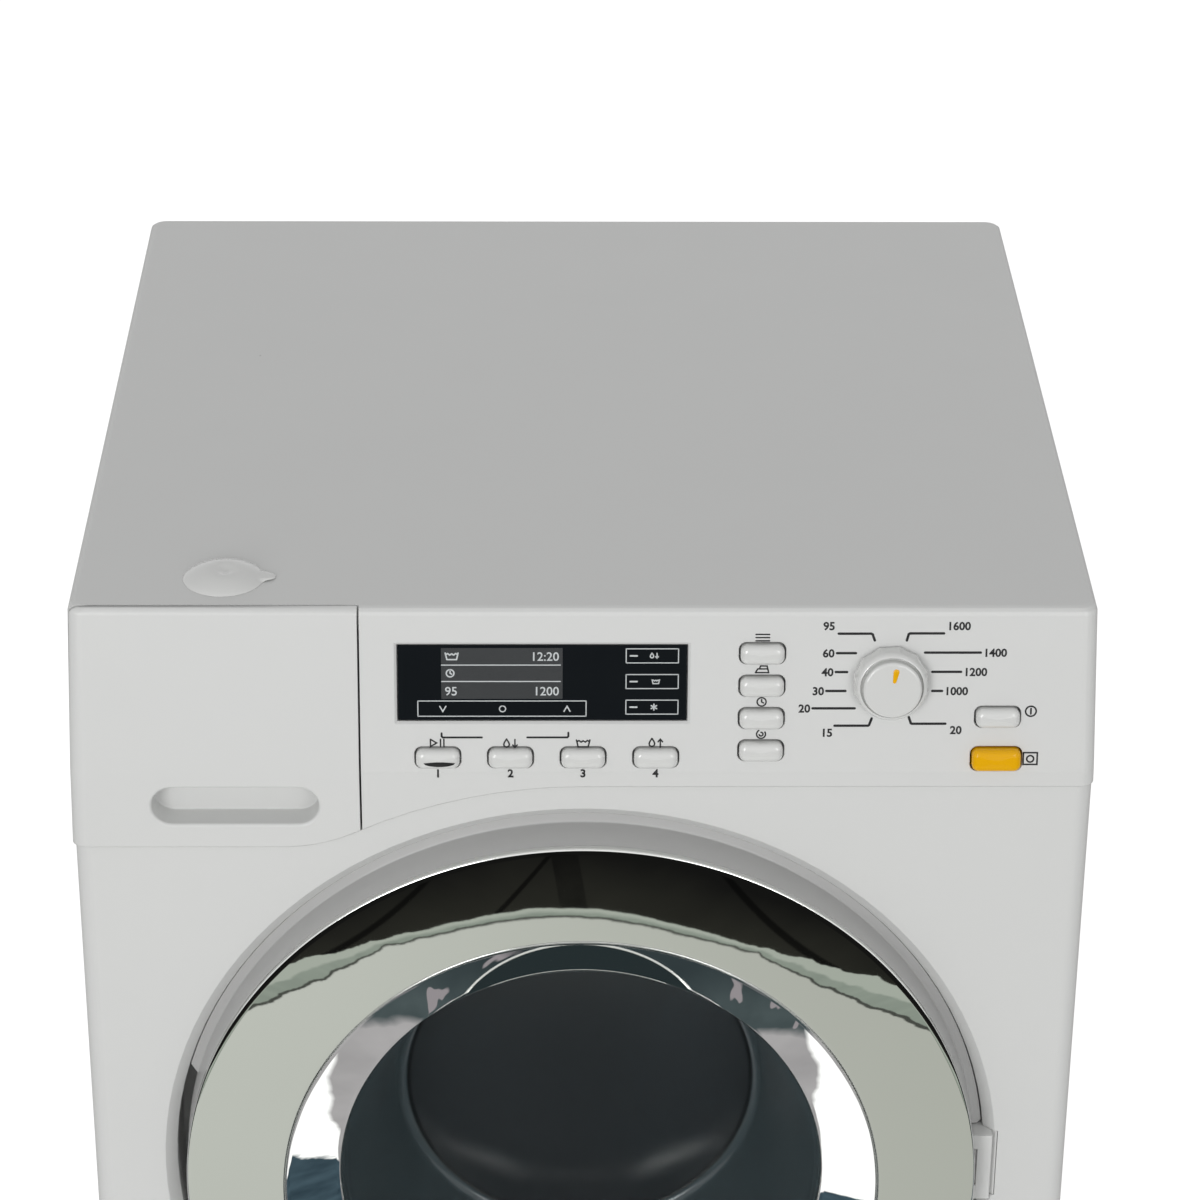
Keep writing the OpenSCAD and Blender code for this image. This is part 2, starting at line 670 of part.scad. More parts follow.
module drawer_housing() {
    color(light_grey) difference() {
        union() {
            translate([housing_x0, housing_y0, housing_z0])
                cube([housing_x1 - housing_x0, housing_y1 - housing_y0, housing_z1 - housing_z0]);
            translate([hose_x, hose_y, housing_z0 - outlet_l])
                cylinder(h = outlet_l + eps, r = hose_bore - fit_gap / 2);
        }
        translate([tray_x0 - tray_gap, housing_y0 - 1, tray_z0 - tray_gap])
            cube([tray_x1 - tray_x0 + 2 * tray_gap, housing_y1 - housing_y0 - housing_wall + 1, through]);
        translate([hose_x, hose_y, housing_z0 - outlet_l - 1])
            cylinder(h = outlet_l + housing_wall + 2, r = hose_bore - 1);
    }
}

module drawer_tray() {
    part_w = (tray_x1 - tray_x0 - tray_wall) / tray_parts;
    color(white) difference() {
        translate([tray_x0, tray_y0, tray_z0]) cube([tray_x1 - tray_x0, tray_d, tray_h]);
        for (i = [0 : tray_parts - 1])
            translate([tray_x0 + tray_wall + i * part_w, tray_y0 + tray_wall, tray_z0 + tray_wall])
                cube([part_w - tray_wall, tray_d - 2 * tray_wall, through]);
    }
}

// The scooped grip: an upright back in its upper half and a sloping floor in its lower half.
module grip_scoop() {
    translate([-grip_x, 0, total_h - grip_drop]) intersection() {
        translate([0, panel_front + grip_d, 0]) rotate([90, 0, 0]) linear_extrude(grip_d + 2)
            round_square(-grip_w / 2, grip_w / 2, -grip_h / 2, grip_h / 2, grip_h / 2 - eps);
        rotate([90, 0, 90]) linear_extrude(grip_w + 2, center = true)
            polygon([[panel_front - 2, grip_h], [panel_front + grip_d, grip_h], [panel_front + grip_d, 0],
                [panel_front, -grip_h / 2 + 0.3], [panel_front - 2, -grip_h]]);
    }
}

module drawer_front() {
    color(white) difference() {
        union() {
            difference() {
                intersection() {
                    cover_form();
                    drawer_corner(seam_gap);
                    above_edge(0, through);
                }
                cover_hollow();
            }
            // box behind the grip, carried by the plate
            intersection() {
                translate([-grip_x, panel_front + wall / 2 + grip_d / 2, total_h - grip_drop])
                    cube([grip_w + wall, grip_d, grip_h + wall], center = true);
                cover_form();
            }
            // web that carries the tray
            translate([tray_x0 + 1, panel_front + wall / 2, tray_z0 + 1])
                cube([tray_x1 - tray_x0 - 2, tray_y0 - panel_front - wall / 2 - eps, tray_h / 4]);
        }
        grip_scoop();
    }
}

// ---------------------------------------------------------------- buttons

// A cushion-shaped button with the flange and stem that keep it in the panel.
module push_button(b) {
    w = b[2];
    h = b[3];
    top = button_out;
    on_panel(b[0], b[1], 0) {
        intersection() {
            translate([0, 0, -wall]) linear_extrude(wall + top + 1)
                round_square(-w / 2, w / 2, -h / 2, h / 2, button_corner);
            intersection() {
                rotate([90, 0, 0]) linear_extrude(h + 2, center = true) cushion(w, top);
                rotate([90, 0, 90]) linear_extrude(w + 2, center = true) cushion(h, top);
            }
        }
        translate([0, 0, -wall - flange_t - fit_gap]) linear_extrude(flange_t + fit_gap + eps)
            round_square(-w / 2 - flange_w, w / 2 + flange_w, -h / 2, h / 2, button_corner);
        translate([0, 0, -wall - flange_t - fit_gap - stem_l])
            linear_extrude(stem_l + eps) square([w / 2, h / 2], center = true);
    }
}

// The cross-section of a button: straight sides and a crowned top.
module cushion(w, top) {
    half = w / 2 + eps;
    low = top - button_edge - button_crown;
    polygon(concat([[half, -wall - 1]], arc([half - button_edge, low], button_edge, 0, 75, 5), [[0, top]],
        arc([button_edge - half, low], button_edge, 105, 180, 5), [[-half, -wall - 1]]));
}

module start_button() { color(white) push_button(BUTTONS[0]); }
module water_in_button() { color(white) push_button(BUTTONS[1]); }
module wash_button() { color(white) push_button(BUTTONS[2]); }
module water_out_button() { color(white) push_button(BUTTONS[3]); }
module option_button_1() { color(white) push_button(BUTTONS[4]); }
module option_button_2() { color(white) push_button(BUTTONS[5]); }
module option_button_3() { color(white) push_button(BUTTONS[6]); }
module option_button_4() { color(white) push_button(BUTTONS[7]); }
module power_button() { color(white) push_button(BUTTONS[8]); }
module door_button() { color(yellow) push_button(BUTTONS[9]); }

// ---------------------------------------------------------------- knob, board and keypad

knob_base = 0.35;         // gap between the knob's skirt and the panel
scallop_r = 1.7;          // radius of a scallop
pointer_turn = -10;       // direction of the pointer, in degrees from upright
pointer_w = 0.8;          // width of the pointer
pointer_l = 2.5;          // length of the pointer
pointer_at = 2.7;         // distance of the pointer's middle from the knob's axis
pointer_d = 0.4;          // depth of the pointer's inlay

module knob_place() {
    on_panel(knob_x, knob_u, knob_base) children();
}

module pointer_shape(gap) {
    rotate(pointer_turn) translate([0, pointer_at]) square([pointer_w + gap, pointer_l + gap], center = true);
}

module programme_knob() {
    shoulder = knob_h * 0.55;
    color(white) knob_place() difference() {
        union() {
            rotate_extrude() polygon(concat([[0, 0], [knob_r, 0]],
                arc([knob_r - 1.1, 1.0], 1.1, 20, 75, 4),
                [[knob_cap_r + 0.25, shoulder]],
                [[knob_cap_r + 0.25, shoulder + 0.3], [knob_cap_r, shoulder + 0.3]],
                arc([knob_cap_r - 0.5, knob_h - 0.5], 0.5, 0, 90, 4), [[0, knob_h]]));
        }
        for (i = [0 : knob_scallops - 1]) rotate(i * 360 / knob_scallops)
            translate([knob_r + scallop_r - 0.35, 0, -1]) cylinder(h = shoulder + 1, r = scallop_r, $fn = 24);
        translate([0, 0, knob_h - pointer_d]) linear_extrude(1) pointer_shape(0);
        translate([0, 0, -1]) cylinder(h = 1 + knob_h / 2, r = knob_axle_r);
    }
}

module knob_pointer() {
    color(yellow) knob_place() translate([0, 0, knob_h - pointer_d]) linear_extrude(pointer_d - 0.05) pointer_shape(-0.04);
}

module knob_axle() {
    color(light_grey) knob_place() translate([0, 0, -board_depth - knob_base + switch_h + fit_gap])
        cylinder(h = board_depth + knob_base - switch_h - fit_gap + knob_h / 2 - 0.1, r = knob_axle_r - eps);
}

module selector_switch() {
    color([0.2, 0.2, 0.22]) on_panel(knob_x, knob_u, -board_depth + eps) cylinder(h = switch_h, r = switch_r);
}

module circuit_board() {
    color([0.12, 0.36, 0.2]) on_panel(0, 0, -board_depth - board_t - eps) linear_extrude(board_t)
        translate([board_x0, -board_u1]) square([board_x1 - board_x0, board_u1 - board_u0]);
}

module keypad_mat() {
    dome_h = board_depth - mat_t - wall - flange_t - fit_gap - stem_l - button_travel - fit_gap;
    color(rubber) difference() {
        union() {
            on_panel(0, 0, -board_depth + eps) linear_extrude(mat_t)
                translate([mat_x0, -board_u1 + 0.5]) square([mat_x1 - mat_x0, board_u1 - board_u0 - 1]);
            for (b = BUTTONS) on_panel(b[0], b[1], -board_depth + mat_t)
                cylinder(h = dome_h, r1 = 2.2, r2 = 1.4, $fn = 32);
        }
        for (p = BOARD_POSTS) on_panel(p[0], p[1], -board_depth - 1) cylinder(h = 8, r = post_r + play);
        on_panel(knob_x, knob_u, -board_depth - 1) cylinder(h = 8, r = switch_r + play);
    }
}

// ---------------------------------------------------------------- door

frame_r = recess_r - door_gap;
seat_r = 53.4;            // inner radius of the frame's inner wall
bezel_t = 1.5;            // thickness of the bezel
bezel_rim = 2.4;          // height of the bezel's outer rim
flange_r = 48.6;          // outer radius of the glass's flange
frame_mouth_r = 46.8;     // radius of the opening in the frame's back
notch_h = knuckle_h + 2 * play;
notch_in = 4.2;           // depth of the notch for the arm, inwards from the hinge's ears
ear_left = hinge_x - knuckle_r;

module door_frame() {
    top = ring_out - ring_t - 0.05;
    inner_top = door_proud - bezel_rim - 0.25;
    color(white) difference() {
        on_door() rotate_extrude() polygon([[frame_mouth_r, -door_back], [frame_r - 0.4, -door_back],
            [frame_r, -door_back + 0.4], [ring_r - 0.1, top], [ring_r - 0.1 - frame_wall, top],
            [frame_r - frame_wall, -door_back + frame_wall], [seat_r + frame_wall, -door_back + frame_wall],
            [seat_r + frame_wall, inner_top], [seat_r + 0.6, inner_top], [seat_r + 0.6, -door_back + frame_wall],
            [frame_mouth_r, -door_back + frame_wall]]);
        // notches for the hinge's arm and for the hinge's ears
        translate([ear_left - notch_in, fy(-2.4), door_z - notch_h / 2])
            cube([2 * knuckle_r + 2 * notch_in, door_back + 3.4, notch_h]);
        translate([ear_left - play, fy(hinge_y - knuckle_r - play), door_z - hinge_h / 2 - play])
            cube([2 * knuckle_r + notch_in, door_back + knuckle_r + 1, hinge_h + 2 * play]);
    }
}

module chrome_ring() {
    slope = (door_proud - ring_out) / (ring_r - ring_inner_r);
    color(chrome) on_door() rotate_extrude() polygon([[ring_inner_r, door_proud - ring_t], [ring_inner_r, door_proud - 0.25],
        [ring_inner_r + 0.25, door_proud], [ring_r - 0.5, ring_out + 0.5 * slope], [ring_r - 0.15, ring_out - 0.15],
        [ring_r, ring_out - 0.5], [ring_r, ring_out - ring_t], [ring_inner_r + frame_wall + 1, ring_out - ring_t + 1.4]]);
}

module glass_bezel() {
    outer = ring_inner_r - 0.1;
    color(chrome) on_door() rotate_extrude() polygon([[glass_r, glass_out], [outer - 0.2, door_proud - 0.2],
        [outer, door_proud - 0.4], [outer, door_proud - bezel_rim], [outer - 1.6, door_proud - bezel_rim - 0.2],
        [glass_r + 2, glass_out - bezel_t + 0.6], [glass_r + 2, glass_out - bezel_t - 0.4],
        [glass_r, glass_out - bezel_t - 0.4]]);
}

module door_glass() {
    flange_top = glass_out - bezel_t - 0.5;
    lip = frame_mouth_r - 0.3;
    color(tinted) on_door() rotate_extrude() polygon(concat(
        [[flange_r, flange_top], [flange_r, -door_back + frame_wall + 0.1], [lip, -door_back + frame_wall + 0.1],
            [lip - 0.4, -door_back]],
        arc([bowl_r - 3 + glass_t, -bowl_d + 3], 3 + glass_t, -10, -90, 6),
        [[0, -bowl_d - glass_t - 1.5], [0, -bowl_d - 1.5]],
        arc([bowl_r - 3, -bowl_d + 3], 3, -90, -10, 6),
        [[glass_r - 0.2, flange_top]]));
}

arm_t = 1.5;              // thickness of the hinge's arm
arm_back = recess_d - 0.5;
arm_x = 62;               // left end of the hinge's arm

module door_hinge() {
    color(light_grey) difference() {
        union() {
            translate([hinge_x, fy(hinge_y), door_z]) cylinder(h = knuckle_h, r = knuckle_r, center = true);
            hull() {
                translate([hinge_x - 0.6, fy(hinge_y + 0.6), door_z]) cylinder(h = knuckle_h, r = 1, center = true, $fn = 32);
                translate([hinge_x - 3.4, fy(arm_back - 1), door_z]) cylinder(h = knuckle_h, r = 1, center = true, $fn = 32);
            }
            translate([arm_x, fy(door_back + 0.02), door_z - knuckle_h / 2])
                cube([hinge_x - 3.4 - arm_x, arm_back - door_back - 0.02, knuckle_h]);
        }
        translate([hinge_x, fy(hinge_y), door_z]) cylinder(h = knuckle_h + 2, r = pin_r + run_gap, center = true);
    }
}

// A clevis: two ears that are rounded at the front, so that the door's rim can swing past them.
module hinge_bracket() {
    right = hinge_x + knuckle_r + play + bracket_t;
    color(light_grey) difference() {
        union() {
            translate([ear_left, fy(hinge_y), door_z - hinge_h / 2])
                cube([right - ear_left, recess_d - hinge_y - 2 * eps, hinge_h]);
            translate([hinge_x, fy(hinge_y), door_z]) cylinder(h = hinge_h, r = knuckle_r, center = true);
        }
        translate([ear_left - 1, fy(-5), door_z - knuckle_h / 2 - play])
            cube([right - ear_left + 1 - bracket_t, recess_d + 10, knuckle_h + 2 * play]);
        translate([hinge_x, fy(hinge_y), door_z]) cylinder(h = hinge_h + 2, r = pin_r + run_gap, center = true);
    }
}

module hinge_pin() {
    color(silver) translate([hinge_x, fy(hinge_y), door_z]) cylinder(h = hinge_h - 0.2, r = pin_r, center = true);
}

tongue_t = 2.2;           // thickness of the catch's tongue
tongue_l = 8;             // length of the catch behind the door's frame
bump = 0.6;               // height of the catch's bump

module door_catch() {
    color(white) translate([-catch_x, fy(door_back + 0.02), door_z - catch_h / 2]) linear_extrude(catch_h)
        polygon([[-tongue_t / 2 - 1, 0], [tongue_t / 2 + 0.4, 0], [tongue_t / 2, 0.8], [tongue_t / 2, tongue_l - 3],
            [tongue_t / 2 + bump, tongue_l - 1.6], [tongue_t / 2 + bump, tongue_l - 1.2], [tongue_t / 2 - 0.4, tongue_l],
            [-tongue_t / 2, tongue_l], [-tongue_t / 2, 1]]);
}

module catch_striker() {
    face = -catch_x + tongue_t / 2 + bump + play;
    color(silver) translate([face, fy(recess_d + wall + 0.02), door_z - catch_h / 2]) linear_extrude(catch_h)
        polygon([[0.5, 0], [3.4, 0], [3.4, 1], [1.5, 1], [1.5, 4.5], [0.6, 4.5], [0, 2], [0.5, 1]]);
}

module door_seal() {
    seal_y = recess_d + wall + neck_l + 0.02;
    color(rubber) on_door() translate([0, 0, -tub_y + 0.02]) rotate_extrude()
        polygon([[porthole_r + 0.2, 0], [neck_r + 2.4, 0], [neck_r + 2.4, tub_y - seal_y - 0.6 + 2],
            [neck_r + 0.3, tub_y - seal_y - 0.6 + 2], [neck_r + 0.3, tub_y - seal_y - 0.1], [porthole_r + 0.2, tub_y - seal_y - 0.1]]);
}

// ---------------------------------------------------------------- tub and drum

bush_r = 2 * shaft_r;     // outer radius of the shaft's bush
bush_boss_r = bush_r + 3; // radius of the boss round the bush
bush_l = 7;               // length of that boss
nipple_l = 4;             // length of the tub's outlet nipple
drain_y = fy(tub_back - 12);

module tub() {
    color(light_grey) difference() {
        union() {
            to_back(tub_y) rotate_extrude() polygon([[neck_r, 0], [tub_r, 0], [tub_r, tub_l],
                [bush_r, tub_l], [bush_r, tub_l - tub_t], [tub_r - tub_t, tub_l - tub_t],
                [tub_r - tub_t, tub_t], [neck_r, tub_t]]);
            to_back(tub_back - tub_t) cylinder(h = bush_l, r = bush_boss_r);
            translate([hose_x, hose_y, door_z])
                cylinder(h = housing_z0 - outlet_l - 5 - door_z, r = hose_bore - fit_gap / 2);
            translate([0, drain_y, door_z - tub_r - nipple_l]) cylinder(h = tub_r, r = hose_bore - fit_gap / 2);
        }
        to_back(tub_back - tub_t - 1) cylinder(h = bush_l + 2, r = bush_r);
        to_back(tub_y + tub_t) cylinder(h = tub_l - 2 * tub_t, r = tub_r - tub_t);
        translate([hose_x, hose_y, door_z]) cylinder(h = through, r = hose_bore - 1);
        translate([0, drain_y, door_z - tub_r - nipple_l - 1]) cylinder(h = tub_r, r = hose_bore - 1);
    }
}

module shaft_bush() {
    color([0.8, 0.65, 0.3]) to_back(tub_back - tub_t) difference() {
        cylinder(h = bush_l + 0.5, r = bush_r - 0.02);
        translate([0, 0, -1]) cylinder(h = bush_l + 3, r = shaft_r + run_gap);
    }
}

module drum() {
    hub_r = drum_r / 6;
    hole_inset = 12;
    back_hole_r = drum_r * 0.6;
    color(silver) difference() {
        to_back(drum_y) rotate_extrude() polygon(concat(
            arc([drum_mouth_r + 0.8, 0.8], 0.8, 270, 90, 4),
            [[drum_r - drum_t - 2, drum_t], [drum_r - drum_t, drum_t + 2], [drum_r - drum_t, drum_l - drum_t],
                [hub_r, drum_l - drum_t], [shaft_r, drum_l - drum_t], [shaft_r, drum_l], [drum_r - 2, drum_l],
                [drum_r, drum_l - 2], [drum_r, 2], [drum_r - 2, 0]]));
        for (third = [0 : 2], i = [0 : holes_round - 1], j = [0 : hole_rows - 1])
            translate([0, fy(drum_y + hole_inset + j * (drum_l - 2 * hole_inset) / (hole_rows - 1)), door_z])
                rotate([0, third * 120 + (i - (holes_round - 1) / 2) * 90 / holes_round, 0])
                    translate([0, 0, drum_r - 4]) cylinder(h = 8, r = drum_hole_r, $fn = 24);
        for (i = [0 : 5]) translate([0, fy(drum_back - 3), door_z]) rotate([0, i * 60 + 30, 0])
            translate([0, 0, back_hole_r]) rotate([-90, 0, 0]) cylinder(h = 6, r = drum_hole_r, $fn = 24);
    }
}

// Three rounded ribs that lift the washing.
module drum_lifters() {
    lifter_w = 12;
    color(silver) for (i = [0 : 2])
        translate([0, fy(drum_y + 4), door_z]) rotate([0, i * 120 + 60, 0]) rotate([-90, 0, 0]) linear_extrude(drum_l - 8)
            intersection() {
                translate([0, -drum_r + drum_t]) union() {
                    polygon([[-lifter_w / 2, -2], [lifter_w / 2, -2], [2.5, lifter_h - 2], [-2.5, lifter_h - 2]]);
                    translate([0, lifter_h - 2.6]) circle(2.6, $fn = 32);
                }
                circle(drum_r - drum_t - 0.02);
            }
}

module drum_shaft() {
    color(silver) to_back(drum_back - drum_t) cylinder(h = plate_y + plate_t - drum_back + drum_t, r = shaft_r - 0.01);
}

// ---------------------------------------------------------------- drive

gear_gap = 1.5;           // gap beside a gear
gear_y = tub_back + bush_l;
large_y = gear_y + gear_w + gear_gap;
plate_y = large_y + gear_w + gear_gap;
idler_angle = -60;        // direction of the idler seen from the drum's axis
idler_reach = gear_module * (drum_teeth + idler_small_teeth) / 2;
pinion_reach = gear_module * (idler_large_teeth + pinion_teeth) / 2;
idler_x = idler_reach * cos(idler_angle);
idler_z = door_z + idler_reach * sin(idler_angle);
motor_x = idler_x;
motor_z = idler_z - pinion_reach;

function involute(rb, t) = let (a = t * 180 / PI) [rb * (cos(a) + t * sin(a)), rb * (sin(a) - t * cos(a))];
function turned(p, a) = [p[0] * cos(a) - p[1] * sin(a), p[0] * sin(a) + p[1] * cos(a)];

// The outline of a spur gear with involute flanks and a tooth on the +X axis.
module gear_outline(teeth) {
    r = gear_module * teeth / 2;
    rb = r * cos(20);
    ra = r + 0.8 * gear_module;
    rr = r - 1.15 * gear_module;
    r0 = max(rb, rr);
    t0 = sqrt(pow(r0 / rb, 2) - 1);
    t1 = sqrt(pow(ra / rb, 2) - 1);
    tp = sqrt(pow(r / rb, 2) - 1);
    inv = tp * 180 / PI - atan(tp);
    half_a = 90 / teeth - 8 / teeth + inv;
    steps = 4;
    polygon([for (k = [0 : teeth - 1]) let (c = k * 360 / teeth) each concat(
        [rr * [cos(c - half_a - 0.6 / teeth * 10), sin(c - half_a - 0.6 / teeth * 10)]],
        [for (i = [0 : steps]) turned(involute(rb, t0 + (t1 - t0) * i / steps), c - half_a)],
        [for (i = [steps : -1 : 0]) let (p = involute(rb, t0 + (t1 - t0) * i / steps)) turned([p[0], -p[1]], c + half_a)],
        [rr * [cos(c + half_a + 0.6 / teeth * 10), sin(c + half_a + 0.6 / teeth * 10)]])]);
}

// Draws a gear on an axis to the back, with a tooth pointing at angle a in the front view.
module gear(x, z, d, teeth, w, bore, a) {
    translate([x, fy(d) + w, z]) rotate([90, 0, 0]) linear_extrude(w) difference() {
        rotate(a) gear_outline(teeth);
        circle(bore, $fn = 48);
    }
}

module drum_gear() {
    color(white) gear(0, door_z, gear_y, drum_teeth, gear_w, shaft_r, idler_angle);
}

module idler_gear() {
    color(white) {
        gear(idler_x, idler_z, gear_y, idler_small_teeth, gear_w + gear_gap + eps, axle_r + run_gap,
            idler_angle + 180 + 180 / idler_small_teeth);
        gear(idler_x, idler_z, large_y, idler_large_teeth, gear_w, axle_r + run_gap, -90);
    }
}

module motor_pinion() {
    color(white) gear(motor_x, motor_z, large_y, pinion_teeth, gear_w, axle_r, 90 + 180 / pinion_teeth);
}

module idler_axle() {
    color(silver) to_back(tub_back + 0.02, idler_x, idler_z) cylinder(h = plate_y + plate_t - tub_back - 0.04, r = axle_r);
}

// The plate that carries the motor, on three posts from the tub's back.
module gear_plate() {
    post = 3;
    margin = 5;
    gear_rim = gear_module * (drum_teeth / 2 + 1);
    // each post: its direction from the drum's axis, and its distance outside the large gear
    places = [for (p = [[149, 6.5], [18, 13], [247, 16]]) (gear_rim + p[1]) * [cos(p[0]), sin(p[0])]];
    left = places[0][0] - margin;
    low = motor_z - motor_r - margin;
    color(light_grey) difference() {
        union() {
            translate([left, fy(plate_y), low])
                cube([places[1][0] + margin - left, plate_t, door_z + places[0][1] + margin - low]);
            for (p = places)
                to_back(tub_back + 0.02, p[0], door_z + p[1]) cylinder(h = plate_y - tub_back + eps, r = post);
        }
        to_back(plate_y - 1) cylinder(h = plate_t + 2, r = shaft_r + run_gap);
        to_back(plate_y - 1, idler_x, idler_z) cylinder(h = plate_t + 2, r = axle_r + 0.02);
        to_back(plate_y - 1, motor_x, motor_z) cylinder(h = plate_t + 2, r = 3.2);
    }
}

module motor() {
    color(silver) {
        to_back(plate_y + plate_t + 0.02, motor_x, motor_z) cylinder(h = motor_l, r = motor_r);
        to_back(large_y - 0.5, motor_x, motor_z) cylinder(h = plate_y + plate_t - large_y + 0.6, r = axle_r - 0.02);
    }
}

// ---------------------------------------------------------------- water

module inlet_hose() {
    z1 = housing_z0 - 0.1;
    z0 = door_z + sqrt(pow(tub_r, 2) - pow(abs(hose_x) - hose_bore - hose_wall, 2)) + play;
    color(rubber) translate([hose_x, hose_y, z0]) difference() {
        cylinder(h = z1 - z0, r = hose_bore + hose_wall);
        translate([0, 0, -1]) cylinder(h = z1 - z0 + 2, r = hose_bore);
    }
}

module drain_hose() {
    top = door_z - tub_r - 0.6;
    end = panel_back - wall - 1;
    color(rubber) difference() {
        union() {
            translate([0, drain_y, spout_z]) cylinder(h = top - spout_z, r = hose_bore + hose_wall);
            translate([0, drain_y, spout_z]) sphere(r = hose_bore + hose_wall);
            translate([0, drain_y, spout_z]) rotate([-90, 0, 0]) cylinder(h = end - drain_y, r = hose_bore + hose_wall);
        }
        translate([0, drain_y, spout_z]) cylinder(h = top, r = hose_bore);
        translate([0, drain_y, spout_z]) sphere(r = hose_bore);
        translate([0, drain_y, spout_z]) rotate([-90, 0, 0]) cylinder(h = through, r = hose_bore);
    }
}

module drain_spout() {
    barb = hose_bore - 0.05;
    color(light_grey) translate([0, panel_back - wall, spout_z]) rotate([-90, 0, 0]) difference() {
        union() {
            cylinder(h = wall + spout_l, r = spout_r);
            cylinder(h = wall, r = spout_root_r);
            translate([0, 0, -1]) cylinder(h = 1 - 0.02, r = spout_r + 2);
            translate([0, 0, -5]) cylinder(h = 5, r = barb);
        }
        translate([0, 0, -6]) cylinder(h = wall + spout_l + 8, r = spout_bore);
    }
}

// ---------------------------------------------------------------- batteries and sound

module battery_box() {
    color(light_grey) translate([-battery_box_w / 2, battery_y, battery_floor_z + 0.02]) difference() {
        cube([battery_box_w, battery_box_d, battery_h + wall]);
        translate([wall, wall, -1]) cube([battery_box_w - 2 * wall, battery_box_d - 2 * wall, battery_h + 1]);
    }
}

module cell_places() {
    for (i = [0 : cell_count - 1])
        translate([-cell_l / 2, battery_y + wall + (i + 0.5) * battery_pitch, battery_floor_z - wall / 2 + cell_r + 0.2])
            rotate([i % 2 * 180, 0, 0]) rotate([0, 90, 0]) children();
}

module batteries() {
    cap_r = 2.7;
    cap_l = 1;
    color([0.25, 0.26, 0.28]) cell_places() {
        cylinder(h = cell_l - cap_l, r = cell_r);
        translate([0, 0, cell_l - cap_l - eps]) cylinder(h = cap_l, r = cap_r);
    }
}

module battery_contacts() {
    contact_t = 0.5;
    gap = 3;
    color(silver) for (side = [-1, 1], i = [0 : cell_count - 1])
        translate([side * (cell_l / 2 + gap), battery_y + wall + (i + 0.5) * battery_pitch, battery_floor_z + cell_r]) {
            cube([contact_t, 8, 10], center = true);
            translate([-side * gap / 2, 0, 0]) rotate([0, side * 90, 0])
                cylinder(h = gap - 0.1, r1 = 2, r2 = 3, center = true, $fn = 24);
        }
}

module speaker() {
    color([0.15, 0.15, 0.16]) translate([speaker_x, speaker_y, foot_h + wall + 0.02]) rotate_extrude()
        polygon([[0, speaker_h / 4], [speaker_r * 0.8, speaker_h / 20], [speaker_r * 0.86, 0], [speaker_r, 0],
            [speaker_r, speaker_h * 0.3], [speaker_r * 0.6, speaker_h * 0.6], [speaker_r * 0.6, speaker_h], [0, speaker_h]]);
}

module case_screws() {
    color(silver) screw_places() {
        translate([0, 0, -screw_head_h]) difference() {
            cylinder(h = screw_head_h - 0.02, r = screw_head_r, $fn = 32);
            for (a = [0, 90]) rotate(a) translate([0, 0, 0.4]) cube([3.4, 0.7, 1], center = true);
        }
        translate([0, 0, -0.5]) cylinder(h = screw_l, r = screw_r, $fn = 32);
    }
}

body_shell();
rear_panel();
base_plate();
feet();
top_cover();
display_window();
filler_plug();
drawer_housing();
drawer_front();
drawer_tray();
start_button();
water_in_button();
wash_button();
water_out_button();
option_button_1();
option_button_2();
option_button_3();
option_button_4();
power_button();
door_button();
programme_knob();
knob_pointer();
knob_axle();
selector_switch();
circuit_board();
keypad_mat();
door_frame();
chrome_ring();
glass_bezel();
door_glass();
door_hinge();
hinge_bracket();
hinge_pin();
door_catch();
catch_striker();
door_seal();
tub();
drum();
drum_lifters();
drum_shaft();
shaft_bush();
drum_gear();
idler_gear();
idler_axle();
gear_plate();
motor();
motor_pinion();
inlet_hose();
drain_hose();
drain_spout();
battery_box();
batteries();
battery_contacts();
battery_cover();
speaker();
case_screws();
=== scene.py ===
# %% [markdown]
# # A toy washing machine
# The toy is a small front loader in white moulded plastic. Its top cover leans at the front and carries a
# display, ten push buttons and a knob. Below it a chromed door closes a round recess. The CAD model holds
# every piece at its true size. Here each piece gets its finish, and those whose curves matter most get a
# finer surface.

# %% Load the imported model
import json
import math

import bmesh
import bpy
import numpy as np
from mathutils import Matrix, Vector

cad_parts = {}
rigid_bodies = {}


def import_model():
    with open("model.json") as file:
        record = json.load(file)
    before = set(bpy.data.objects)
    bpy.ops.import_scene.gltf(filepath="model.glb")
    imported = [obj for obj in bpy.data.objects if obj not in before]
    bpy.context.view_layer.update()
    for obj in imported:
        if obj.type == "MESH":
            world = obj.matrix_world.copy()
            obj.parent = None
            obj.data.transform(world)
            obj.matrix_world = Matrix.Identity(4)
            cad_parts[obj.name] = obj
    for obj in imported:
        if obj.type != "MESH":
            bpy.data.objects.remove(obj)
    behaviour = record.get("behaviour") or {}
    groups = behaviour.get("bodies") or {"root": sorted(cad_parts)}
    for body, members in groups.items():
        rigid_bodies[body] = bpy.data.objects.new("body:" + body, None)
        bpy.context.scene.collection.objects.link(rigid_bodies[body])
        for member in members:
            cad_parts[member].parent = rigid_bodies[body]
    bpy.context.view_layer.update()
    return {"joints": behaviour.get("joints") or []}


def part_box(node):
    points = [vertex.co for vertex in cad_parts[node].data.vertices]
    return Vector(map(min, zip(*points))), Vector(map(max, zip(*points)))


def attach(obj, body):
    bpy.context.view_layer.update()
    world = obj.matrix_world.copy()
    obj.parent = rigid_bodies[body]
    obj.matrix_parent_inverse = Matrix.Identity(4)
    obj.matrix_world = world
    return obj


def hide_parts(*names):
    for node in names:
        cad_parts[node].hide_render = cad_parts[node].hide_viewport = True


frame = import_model()
joints = {j["name"]: j for j in frame["joints"]}
MM = 0.001

